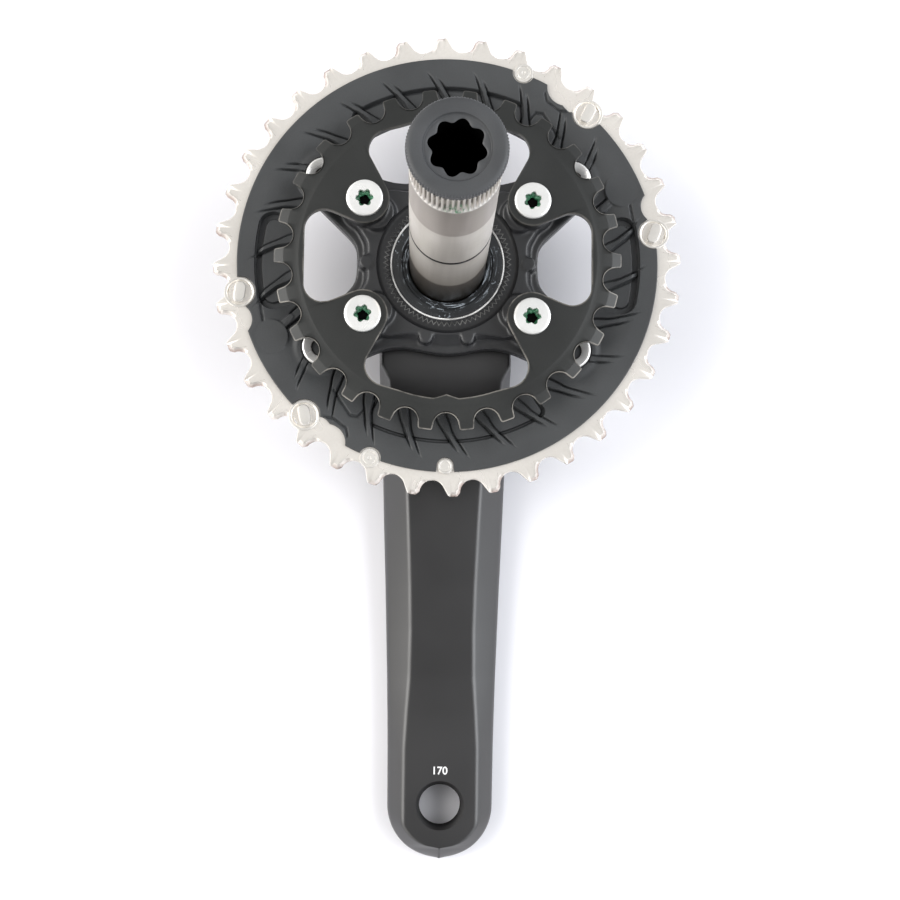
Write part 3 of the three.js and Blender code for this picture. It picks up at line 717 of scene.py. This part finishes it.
def spider():
    low, high = SPIDER_LOW[2], SPIDER_HIGH[2]
    ear = spot(OUTER_BOLT_R, BOLT_ANGLE)
    pad = spot(INNER_BOLT_R, BOLT_ANGLE)
    arms = fourfold([
        (28.6, 0.3), (28.9, 5.2), (30.4, 7.8), *arc(*ear, 7.8, -46, 118, 20),
        (27.5, 30.6), (21.5, 27.9), (17, 26.7), (13, 26.5), (9, 27.1), (5, 28.0), (0.3, 28.5),
    ])
    web = fourfold([
        (25.0, 0.3), (25.2, 6.2), (28.2, 10.9), *arc(*pad, BOLT_PAD_R, -60, 140, 20),
        (17.6, 23.4), (12, 22.6), (0.3, 22.8),
    ])
    foot = fourfold([
        (26.2, 0.3), (26.2, 6.2), (28.6, 10.9), *arc(*pad, 7.6, -60, 140, 20),
        (17.8, 24.2), (14, 23.7), (10, 24.1), (6, 25.0), (0.3, 25.8),
    ])
    levels = ((foot, WEB_LOW_Z - 2), (foot, WEB_LOW_Z), (web, WEB_TOP_Z))
    parts = [
        add_skin("part", plate_loops(rounded_outline(arms), low + 0.15, ARM_TOP_Z, 0.3), closed=False),
        add_skin("part", [raised(rounded_outline(outline), z) for outline, z in levels], closed=False),
    ]
    for x, y in bolt_spots(INNER_BOLT_R):
        column = [(0, WEB_LOW_Z), (BOLT_PAD_R, WEB_LOW_Z), (BOLT_PAD_R, high - 0.2), (6.9, high), (0, high)]
        parts.append(turned("part", column, 72, x, y))
        # A buttress leans from the web into the pad.
        buttress = [circle(6.6, WEB_LOW_Z, 48, x * 0.8, y * 0.8), circle(5.4, 36.5, 48, x * 0.86, y * 0.86)]
        parts.append(add_skin("part", buttress, closed=False))
    for x, y, lift in BOSSES:
        top = WEB_TOP_Z + lift
        profile = [(0, WEB_LOW_Z), (2.3, WEB_LOW_Z), (2.2, top), (0, top)]
        parts.append(turned("part", profile, 48, x, y))
    body = melted("spider_body", parts, 0.38, 6)
    drill(body, SPIDER_BORE_R, low - 2, 40, 180)
    for x, y in bolt_spots(OUTER_BOLT_R):
        drill(body, 4.95, low - 2, 33, 64, x, y)
    shade(body.data, 50)
    dress(body, SPIDER_FINISH, "spider_finish", "spider")
    splined_collar()


def zigzag(inner, outer, teeth, count):
    angle = even_angles(count)
    wave = np.abs(((angle * teeth / TURN) % 1.0) * 2 - 1)
    return polar(inner + (outer - inner) * wave, angle)


def splined_collar():
    """The collar that the arm's splines bite into, and the ring of spline ends inside it."""
    count = SERRATIONS * 12
    top = SHOULDER_Z + 0.5
    teeth = zigzag(18.65, 19.95, SERRATIONS, count)
    loops = [
        circle(22.9, SPIDER_LOW[2], count), circle(22.9, 33.9, count), circle(22.55, 34.2, count),
        circle(22.1, 33.85, count), circle(21.7, top + 0.12, count), circle(21.2, top, count),
        raised(teeth * 1.02, top), raised(teeth * 1.006, top), raised(teeth, top - 0.12),
        raised(teeth, top - 0.5), raised(teeth, SPIDER_LOW[2]),
    ]
    collar = add_skin("spider_collar", loops, True, 28, [0, 0, 0, 0, 0, 0, 0, 0.35, 0.8, 0, 0])
    dress(collar, COLLAR_FINISH, "spider_finish")
    ends = teeth * 0.993
    loops = [
        raised(ends, HUB_SPLINE_LOW), raised(ends, top - 0.6), raised(ends, top - 0.16),
        raised(ends * 0.996, top - 0.06), raised(ends * 0.99, top - 0.06),
        circle(18.15, top - 0.3, count), circle(18.15, HUB_SPLINE_LOW, count),
    ]
    splines = add_skin("hub_spline_ends", loops, True, 28, [0, 0, 0.4, 0.1, 0, 0, 0])
    dress(splines, COLLAR_FINISH, "arm_finish")


# ---------------------------------------------------------------- chainrings
RING_PHASE = math.radians(-88.1)
GROOVE_R = 60.6
PIN_RADIUS = 66.0
RIVET_RADIUS = 66.6
PIN_ANGLES = (48.1, 9.1, 228.1, 189.1)
PIN_LEAN = (-28, -20, 12, -8)
RIVET_ANGLES = (69.3, 249.3)
DROP_PIN_RADIUS = 64.6
CARRIER_R = 66.3
CARRIER_INNER_R = 47.5
RIBS = 26
RIB_PHASE = math.radians(88.9)
# Middle angle, half angle, radius of the outer wall, corner radius and trough width of each pocket.
POCKETS = ((93.5, 30.5, 57.2, 2.6, 0.9), (0.0, 16.0, 60.6, 5.0, 1.9))
# Narrow channels moulded into the carrier, in half a turn.
CHANNELS = (
    ((38.0, 49.5), (35.0, 50.0), (31.0, 53.0), (30.5, 55.5)),
    ((59.0, 12.0), (57.5, 20.0)),
    ((35.0, 41.0), (32.7, 44.7), (29.8, 48.9), (27.5, 49.2), (25.6, 47.2)),
)
STUB_BARS = (((52.5, 21.5), (49.0, 18.0)),)
# Angle, distance from the axis and size of each round bite out of the carrier's edge, in half a turn.
EDGE_BITES = (
    (57.2, 68.6, 6.0), (53.4, 67.4, 4.7), (16.2, 69.3, 5.5),
    (69.3, 66.6, 3.5), (48.1, PIN_RADIUS, 5.0), (9.1, PIN_RADIUS, 5.0),
)
OUTER_TEETH = 36
INNER_TEETH = 26
SMALL_STEP_R = 48.1
SMALL_EDGE_R = 44.4
TIP_SLOPE_R = 51.0


def tooth_outline(teeth, tip_radius, tip_range, phase, steep, slanted, samples):
    """A sprocket outline with roller seats and leaning teeth, anticlockwise. It also returns each point's
    place in its tooth: 0 at the seat before the tooth, 0.5 at its tip and 1 at the seat after it."""
    pitch_radius = CHAIN_PITCH / 2 / math.sin(math.pi / teeth)
    step = TURN / teeth
    inward = 180 - math.degrees(step / 2)
    start, end = tip_range[0] / tip_radius, tip_range[1] / tip_radius
    one = arc(*spot(pitch_radius, -step / 2), ROLLER_SEAT_R, inward, inward - slanted, 8)
    one += [spot(tip_radius - 0.3, start)]
    one += [spot(tip_radius, a) for a in np.linspace(start * 0.75, end * 0.85, 4)]
    one += [spot(tip_radius - 0.3, end)]
    inward = 180 + math.degrees(step / 2)
    one += arc(*spot(pitch_radius, step / 2), ROLLER_SEAT_R, inward + steep, inward, 8)[:-1]
    one = resampled(np.array(one), samples, closed=False)[:-1]
    outline = np.vstack([rotated(one, phase + tooth * step) for tooth in range(teeth)])
    return outline, np.tile(np.linspace(0, 1, samples)[:-1], teeth)


def outer_chainring():
    low, high = RING_LOW[2], RING_HIGH[2]
    tip = RING_HIGH[0]
    outline, place = tooth_outline(OUTER_TEETH, tip, (-1.4, 1.7), RING_PHASE, 86, 58, 40)
    radius = norms(outline)
    unit = outline / radius[:, None]
    inner = unit * GROOVE_R
    root = unit * 68.2
    # Each tooth's trailing side is milled away on the inner face, towards its tip.
    lead = smoothstep(0.44, 0.5, place) * smoothstep(69.2, 70.2, radius)
    tipped = smoothstep(72.0, tip, radius)
    edge = 0.22
    near = inset(outline, edge)
    facet = 0.9 * lead
    mid = (root * 0.55 + near * 0.45) * (1 - facet)[:, None] + inset(outline, 1.1) * facet[:, None]
    top_edge = high - edge - 1.0 * lead - 0.3 * tipped
    top_near = high - 0.85 * lead - 0.16 * tipped
    bottom_edge = low + edge + 0.3 * tipped
    loops = [
        raised(inner, low), raised(inner, high), raised(root, high), raised(mid, high),
        raised(near, top_near), raised(outline, top_edge), raised(outline, bottom_edge),
        raised(near, low + 0.1 * tipped), raised(root, low),
    ]
    # The milled facets and their edges take the darker, pinker second colour: painted shade.
    facet_shade = [0.0, 0.0, 0.0, 0.0, lead, lead, lead, 0.0, 0.0]
    ring = add_skin("outer_tooth_ring", loops, True, 24, facet_shade)
    dress(ring, TOOTH_STEEL, "tooth_steel", "outer_chainring")


def ray_to_circle(theta, radius, angle, size):
    """Where a ray from the axis first meets a circle; infinite where it misses."""
    offset = theta - angle
    reach = size ** 2 - (radius * np.sin(offset)) ** 2
    hit = (reach > 0) & (np.cos(offset) > 0)
    return np.where(hit, radius * np.cos(offset) - np.sqrt(np.maximum(reach, 0)), np.inf)


def edge_radius(theta):
    edge = np.full(theta.shape, CARRIER_R)
    for half in (0.0, 180.0):
        for angle, radius, size in EDGE_BITES:
            edge = np.minimum(edge, ray_to_circle(theta, radius, math.radians(angle + half), size))
    return np.minimum(edge, ray_to_circle(theta, DROP_PIN_RADIUS, math.radians(-90), 2.75))


def inner_radius(theta):
    edge = np.full(theta.shape, CARRIER_INNER_R)
    for x, y in bolt_spots(OUTER_BOLT_R):
        edge = np.minimum(edge, ray_to_circle(theta, OUTER_BOLT_R, math.atan2(y, x), 7.8))
    return edge


def wrapped(angle):
    return (angle + math.pi) % TURN - math.pi


def blend(a, b, share):
    return a * (1 - share) + b * share


def pockets(r, theta):
    """How far each point lies in a pocket and in the trough along the pocket's wall, from 0 to 1."""
    inside = np.zeros_like(r)
    trough = np.zeros_like(r)
    for middle, half, wall, corner, width in POCKETS:
        for turn in (0, 180):
            across = np.abs(wrapped(theta - math.radians(middle + turn))) * r
            side = across - math.radians(half) * r + corner
            out = r - wall + corner
            away = np.hypot(np.maximum(side, 0), np.maximum(out, 0)) - corner
            away = away + np.minimum(np.maximum(side, out), 0)
            inside = np.maximum(inside, 1 - smoothstep(-0.35, 0.1, away))
            band = smoothstep(-width - 0.35, -width, away) * (1 - smoothstep(-0.2, 0.1, away))
            trough = np.maximum(trough, band)
    return inside, trough


def line_distance(x, y, lines):
    """Distance to the nearest of some polylines and of their copies half a turn round."""
    nearest = np.full(x.shape, np.inf)
    for sign in (1, -1):
        for points in lines:
            for (ax, ay), (bx, by) in zip(points, points[1:]):
                dx, dy = bx - ax, by - ay
                px, py = sign * x - ax, sign * y - ay
                share = np.clip((px * dx + py * dy) / (dx * dx + dy * dy), 0, 1)
                nearest = np.minimum(nearest, np.hypot(px - share * dx, py - share * dy))
    return nearest


def carrier_height(r, theta, high):
    """The inner face of the carrier: a rim, a ramp down to the inside, ribs, pockets and pads."""
    x, y = r * np.cos(theta), r * np.sin(theta)
    z = high - 1.5 * (1 - smoothstep(50.0, 61.5, r))
    # pockets, deepest along their walls
    inside, trough = pockets(r, theta)
    z = blend(z, np.minimum(z, high - 1.8 - 1.1 * trough), inside)
    # slanted ribs with a tapering line along each side
    reach = r - 50.0
    lean = (0.45 * reach + 0.014 * reach ** 2) / r
    step = TURN / RIBS
    offset = wrapped((theta - RIB_PHASE - lean + step / 2) % step - step / 2) * r
    width = 0.8 + 0.5 * (1 - smoothstep(50.5, 54.5, r)) - 0.25 * smoothstep(57.0, 62.0, r)
    end = np.where(offset > 0, 63.3, 61.4)
    along = 1 - smoothstep(end - 4.5, end, r)
    beside = np.exp(-((np.abs(offset) - width - 0.4) / 0.3) ** 2)
    z = z - along * beside * (1.0 - 0.5 * inside)
    keep = (1 - smoothstep(width - 0.2, width + 0.2, np.abs(offset))) * (1 - smoothstep(58.0, 62.0, r))
    rib_top = high - 0.15 - 0.6 * (1 - smoothstep(50.0, 58.0, r))
    z = blend(z, np.maximum(z, rib_top), keep)
    z = z - 0.7 * np.exp(-(line_distance(x, y, CHANNELS) / 0.35) ** 2)
    bar = 1 - smoothstep(0.8, 1.2, line_distance(x, y, STUB_BARS))
    z = blend(z, np.maximum(z, high - 0.5), bar)
    # flat lands around the nuts, with pits for their flanges
    for bx, by in bolt_spots(OUTER_BOLT_R):
        away = np.hypot(x - bx, y - by)
        land = 1 - smoothstep(7.2, 9.5, away)
        z = blend(z, np.minimum(z + 0.9, high - 0.4), land)
        z = blend(z, high - 1.3, 1 - smoothstep(6.0, 6.25, away))
    # faint round pads
    for angle in (24.0, 204.0):
        px, py = spot(60.2, math.radians(angle))
        z = blend(z, high - 0.12, 1 - smoothstep(5.3, 5.7, np.hypot(x - px, y - py)))
    return z


def outer_carrier():
    low, high = CARRIER_LOW[2], CARRIER_HIGH[2]
    theta = even_angles(2200)
    outer = edge_radius(theta)
    inner = inner_radius(theta)

    def at(radius, z):
        return raised(polar(np.broadcast_to(radius, theta.shape), theta), z)

    radii = np.concatenate([np.arange(40.2, 50, 0.6), np.arange(50, 63.5, 0.24), np.arange(63.5, 66.3, 0.6)])
    outer_soft = outer - 0.3
    rim = carrier_height(outer_soft, theta, high)
    loops = [at(inner, carrier_height(inner, theta, high) - 0.3)]
    for r in radii:
        r = np.clip(r, inner + 0.3, outer_soft)
        loops.append(at(r, carrier_height(r, theta, high)))
    loops += [at(outer_soft, rim), at(outer - 0.08, rim - 0.1), at(outer, rim - 0.3)]
    groove = GROOVE_R - 0.3
    loops += [at(outer, RING_HIGH[2] + 0.08), at(groove, RING_HIGH[2] + 0.08), at(groove, RING_LOW[2] - 0.08)]
    loops += [at(CARRIER_R, RING_LOW[2] - 0.08), at(CARRIER_R, low + 0.3), at(CARRIER_R - 0.3, low)]
    loops += [at(61.0, low), at(60.5, low + 0.5), at(53.0, low + 0.5), at(52.5, low)]
    loops += [at(inner + 0.3, low), at(inner, low + 0.3)]
    dress(add_skin("composite_carrier", loops, True, 34), CARRIER_FINISH, "carrier_composite",
          "outer_chainring_carrier")


def small_opening():
    tab = spot(INNER_BOLT_R, BOLT_ANGLE)
    quarter = [
        (44.8, 0.1), (44.8, 6.0), *arc(38.7, 8.5, 6.1, 4, 110, 26), *arc(*tab, 7.8, -62, -205, 40),
        *arc(18.6, 34, 6.6, -15, 78, 24), *arc(0, 0, SMALL_EDGE_R, 71, 89.8, 14),
    ]
    outline = smoothed(resampled(fourfold(quarter), 2400), 30)
    # A small pointer on the edge that lies over the crank arm.
    angle = np.arctan2(outline[:, 1], outline[:, 0])
    across = np.abs(wrapped(angle + math.pi / 2)) * SMALL_EDGE_R
    pointer = np.clip(1 - across / 3.9, 0, 1) * 1.4
    return outline * (1 - pointer / norms(outline))[:, None]


def inner_chainring():
    low, high = SMALL_LOW[2], SMALL_HIGH[2]
    phase = -math.pi / 2 + math.pi / INNER_TEETH
    outline, _ = tooth_outline(INNER_TEETH, SMALL_HIGH[0], (-2.2, 2.2), phase, 74, 70, 50)
    unit = outline / norms(outline)[:, None]
    teeth_angle = np.unwrap(np.arctan2(outline[:, 1], outline[:, 0]))
    opening = small_opening()
    angle = np.unwrap(np.arctan2(opening[:, 1], opening[:, 0]))
    climb = np.maximum.accumulate(angle)
    shape = np.vstack([opening, opening[:1]])
    step = norms(np.diff(shape, axis=0))
    length = np.concatenate([[0], np.cumsum(step)])[:-1] / step.sum() * TURN
    # The opening is matched to the teeth partly by angle and partly by length along its edge.
    key = 0.75 * (climb - climb[0]) + 0.25 * length + angle[0]
    wanted = (teeth_angle - key[0]) % TURN + key[0]
    period = np.concatenate([key, [key[0] + TURN]])
    inner = np.stack([np.interp(wanted, period, shape[:, k]) for k in (0, 1)], 1)
    tangent = unit_tangent(inner)
    away = np.stack([tangent[:, 1], -tangent[:, 0]], 1)
    soft = inner + away * 0.13
    clean = inner + away * 0.5
    near = inset(outline, 0.13)
    mid = unit * SMALL_STEP_R * 0.5 + near * 0.5
    reach = np.maximum(norms(near - mid), 0.1)
    share = np.clip((TIP_SLOPE_R - norms(mid)) / reach, 0.1, 0.8)
    shoulder = mid + (near - mid) * share[:, None]

    def face(points, drop=0.0):
        """A loop on the inner face, which steps down outside the bolts and slopes off towards each tip."""
        r = norms(points)
        step = 0.35 * smoothstep(46.2, SMALL_STEP_R, r)
        slope = 0.85 * np.clip((r - TIP_SLOPE_R) / 3.2, 0, 1)
        return raised(points, high - step - slope - drop)

    loops = [
        raised(inner, low + 0.25), raised(inner, high - 0.12), raised(soft, high), raised(clean, high),
        face(unit * 46.2), face(unit * 46.7), face(unit * SMALL_STEP_R), face(mid), face(shoulder),
        face(inset(outline, 0.45)), face(near), face(outline, 0.14),
        raised(outline, low + 0.35), raised(near, low + 0.1), raised(unit * SMALL_STEP_R, low),
        raised(soft, low),
    ]
    # Painted highlight: the edges turn lighter, strongly on the near side and faintly on the far side.
    near_side_share = 0.25 + 0.75 * (1 - smoothstep(-20.0, 35.0, outline[:, 1]))
    wear_and_painted_light = [0, 0.7 * near_side_share, 0.6 * near_side_share, 0, 0, 0, 0, 0, 0, 0, 0.8 * near_side_share, near_side_share, 0, 0, 0, 0]
    obj = add_skin("inner_tooth_ring", loops, True, 26, wear_and_painted_light)
    for x, y in bolt_spots(INNER_BOLT_R):
        drill(obj, 4.2, low - 1, high + 1, 64, x, y)
    shade(obj.data, 26)
    dress(obj, SMALL_FINISH, "small_ring_finish", "inner_chainring")


# ---------------------------------------------------------------- fasteners
def inner_bolts():
    count = 144
    for i, (x, y) in enumerate(bolt_spots(INNER_BOLT_R)):
        node = f"inner_ring_bolt_{i + 1}"
        low, high = span(node)
        base, top = low[2], high[2]
        seat = SMALL_HIGH[2] + 0.02
        phase = math.radians((4, 22, 12, -6)[i])
        centre = np.array((x, y))
        socket = star(2.5, 0.36, 6, count, phase)
        hole = star(1.6, 0.14, 5, count, phase) + (0.0, -0.3)

        def ring(radius, z):
            return circle(radius, z, count, x, y)

        loops = [
            ring(4.0, base), ring(4.0, seat), ring(5.6, seat), ring(5.75, seat + 0.2), ring(5.75, top - 0.42),
            ring(5.6, top - 0.16), ring(5.25, top - 0.03), ring(4.6, top),
            raised(socket * 1.06 + centre, top - 0.03), raised(socket + centre, top - 0.2),
            raised(socket + centre, top - 3.0),
        ]
        dress(add_skin(f"inner_bolt_{i + 1}", loops, False, 26), BOLT_STEEL, "bolt_steel", node)
        # Thread lock left in the socket: a ragged collar of it with a dark hole in the middle.
        rng = np.random.default_rng(40 + i)
        ragged = np.clip(smoothed(rng.uniform(-1, 1, (count, 1)), 40)[:, 0] * 6.0, -1, 1)
        lining = socket * 0.985 + centre
        loops = [
            raised(lining, top - 2.98), raised(lining, top - 1.5 + ragged * 0.4),
            raised(socket * 0.86 + centre, top - 1.6 + ragged * 0.3), raised(hole * 1.08 + centre, top - 1.8),
            raised(hole + centre, top - 2.0), raised(hole + centre, top - 2.98),
        ]
        dress(add_skin(f"thread_lock_{i + 1}", loops, True, 60), THREAD_LOCK, "bolt_steel")
        # A black disc at the bottom of the socket is painted shade.
        floor = [(0, -2.99), (2.05, -2.99), (2.05, -2.9), (0, -2.9)]
        floor = turned(f"socket_shade_floor_{i + 1}", floor, 48, x, y, base=top)
        dress(floor, SHADE_BLACK, "bolt_steel")


def outer_fasteners():
    for i, (x, y) in enumerate(bolt_spots(OUTER_BOLT_R)):
        nut = f"outer_ring_nut_{i + 1}"
        low, high = span(nut)
        top = high[2]
        profile = [
            (3.45, low[2]), (4.7, low[2]), (4.7, 34.1), (5.8, 34.15), (5.8, top - 0.35), (5.6, top - 0.1),
            (5.3, top), (5.05, top - 0.06), (3.2, top - 0.95), (3.0, top - 1.2), (3.0, top - 1.6),
            (3.45, top - 1.7),
        ]
        dress(turned(f"sleeve_nut_{i + 1}", profile, 96, x, y, True, 24), NUT_METAL, "nut_steel", nut)
        # A dark lining in the nut's hole is painted shade.
        bore = turned(f"nut_bore_shade_{i + 1}", [
            (0, 32.7), (3.3, 32.7), (3.3, top - 1.75), (2.98, top - 1.6), (2.98, top - 1.25),
            (2.85, top - 1.25), (2.7, 33.0), (0, 33.0),
        ], 72, x, y)
        dress(bore, BORE_SHADE, "nut_steel")
        bolt = f"outer_ring_bolt_{i + 1}"
        low, high = span(bolt)
        count = 96
        key = star(2.3, 0.4, 6, count) + (x, y)
        base = low[2]

        def ring(radius, z):
            return circle(radius, z, count, x, y)

        loops = [
            raised(key, base + 2.0), raised(key, base + 0.2), raised(inset(key, -0.18), base + 0.02),
            ring(4.5, base), ring(5.2, base + 0.08), ring(5.55, base + 0.4), ring(5.6, base + 1.45),
            ring(3.1, base + 1.5), ring(3.1, high[2] - 0.4), ring(2.7, high[2]),
        ]
        dress(add_skin(f"outer_bolt_{i + 1}", loops, False, 26), BOLT_STEEL, "bolt_steel", bolt)


def pins():
    base = RING_HIGH[2] - 0.05
    for i, degrees in enumerate(PIN_ANGLES):
        centre = np.array(spot(PIN_RADIUS, math.radians(degrees)))
        lean = math.radians(PIN_LEAN[i])
        half = [(-1.7, -2.2), (-0.9, -3.3), (1.0, -3.2), (2.0, -1.8)]
        sides = half + [(x, -y) for x, y in reversed(half)]
        head = rotated(smoothed(resampled(sides, 120), 8), lean) + centre
        node = f"shift_pin_{i + 1}"
        top = span(node)[1][2]
        loops = [
            raised(head, base - 1.2), raised(head, top - 0.35), raised(inset(head, 0.25), top - 0.06),
            raised(inset(head, 0.6), top),
        ]
        dress(add_skin(f"pin_head_{i + 1}", loops, False, 30), PIN_STEEL, "pin_steel", node)
        boss = turned(f"pin_boss_{i + 1}", [
            (3.45, -0.8), (4.8, -0.8), (4.78, 0.35), (4.6, 0.5), (4.1, 0.5), (3.85, 0.35), (3.5, -0.3),
        ], 96, *centre, closed=True, base=base)
        dress(boss, PIN_STEEL, "pin_steel")
    for i, degrees in enumerate(RIVET_ANGLES):
        x, y = spot(RIVET_RADIUS, math.radians(degrees))
        rivet = turned(f"rivet_head_{i + 1}", [
            (0, -1), (3.1, -1), (3.1, 0.3), (2.95, 0.45), (2.3, 0.45), (2.15, 0.3), (1.9, 0.3), (1.75, 0.42),
            (0.6, 0.42), (0.45, 0.3), (0, 0.3),
        ], 72, x, y, base=base)
        dress(rivet, PIN_STEEL, "pin_steel", f"shift_rivet_{i + 1}")
    low, high = [corner[2] for corner in span("chain_drop_pin")]
    drop = turned("drop_pin_body", [
        (0, low), (1.5, low), (2.1, low + 0.5), (2.2, low + 1.2), (2.2, RING_LOW[2] - 0.3),
        (1.6, RING_LOW[2] - 0.2), (1.6, RING_HIGH[2]), (2.35, RING_HIGH[2] + 0.1), (2.35, high - 0.25),
        (2.15, high - 0.05), (1.75, high), (1.6, high - 0.12), (1.2, high - 0.15), (1.1, high - 0.05),
        (0, high - 0.02),
    ], 72, 0.0, -DROP_PIN_RADIUS)
    dress(drop, PIN_STEEL, "pin_steel", "chain_drop_pin")


# ---------------------------------------------------------------- camera, floor and light
CAMERA_PLACE = (-8.88, -125.38, 578.03)
CAMERA_ANGLES = (6.906, -1.173, 0.683)
CAMERA_LENS = 70.42
LIGHT_AIM = (0.0, -0.04, 0.03)
SKY_POWER = 3.35
FLOOR_DROP = 0.0002


def camera():
    data = bpy.data.cameras.new("camera")
    data.sensor_width = 36.0
    data.lens = CAMERA_LENS
    data.dof.use_dof = False
    data.clip_start = 0.01
    data.clip_end = 20.0
    obj = placed("camera", data)
    obj.location = Vector(CAMERA_PLACE) * MM
    obj.rotation_euler = [math.radians(angle) for angle in CAMERA_ANGLES]
    bpy.context.scene.camera = obj


def area_light(name, place, power, colour):
    data = bpy.data.lights.new(name, "AREA")
    data.shape = "RECTANGLE"
    data.size, data.size_y = 0.6, 0.6
    data.energy = power
    data.color = colour
    obj = placed(name, data)
    obj.location = place
    aim = Vector(LIGHT_AIM) - Vector(place)
    obj.rotation_euler = aim.to_track_quat("-Z", "Y").to_euler()


def sky(world):
    """Bright to the left and right, dim overhead where the camera stands and towards the front."""
    tree = world.node_tree
    split = axes(tree, "Generated")
    sides = ramp(tree, ranged(tree, split["X"], 0.0, 1.0, -1.0, 1.0), [
        (0.0, (1.0, 0.985, 0.96)), (0.14, (1.0, 0.985, 0.96)), (0.34, 0.17), (0.68, (0.17, 0.17, 0.174)),
        (0.87, (0.93, 0.96, 1.0)), (1.0, (0.93, 0.96, 1.0)),
    ])
    depth = ramp(tree, ranged(tree, split["Y"], 0.0, 1.0, -1.0, 1.0), [
        (0.0, 0.95), (0.25, 0.85), (0.34, 0.55), (0.45, 0.7), (0.55, 1.0), (0.62, 1.0), (0.72, 0.82),
        (1.0, 0.82),
    ])
    low = ranged(tree, split["Z"], 0.45, 1.0, 0.1, 0.42)
    background = tree.nodes["Background"]
    tree.links.new(darkened(tree, sides, depth, low), background.inputs["Color"])
    background.inputs["Strength"].default_value = SKY_POWER


def studio():
    world = bpy.data.worlds.new("studio")
    bpy.context.scene.world = world
    world.use_nodes = True
    sky(world)
    area_light("key_left", (-0.75, 0.0, 0.8), 4.0, (1.0, 0.99, 0.97))
    area_light("key_right", (0.75, -0.05, 0.8), 3.6, (0.97, 0.985, 1.0))
    bpy.ops.mesh.primitive_plane_add(size=6.0, location=(0, 0, -FLOOR_DROP))
    floor = bpy.context.object
    floor.name = "floor"
    material, tree, shader = new_material("pale_floor")
    patches = noise(tree, coordinates(tree), 6.0)
    tone = ramp(tree, patches, [(0.3, (0.875, 0.87, 0.905)), (0.7, (0.895, 0.89, 0.925))])
    tree.links.new(tone, shader.inputs["Base Color"])
    shader.inputs["Roughness"].default_value = 0.8
    floor.data.materials.append(material)
    bpy.context.scene.view_settings.view_transform = "Standard"


for build in (camera, studio, crank_arm, length_mark, spindle, preload_cap, spider, outer_chainring,
              outer_carrier, inner_chainring, inner_bolts, outer_fasteners, pins):
    build()
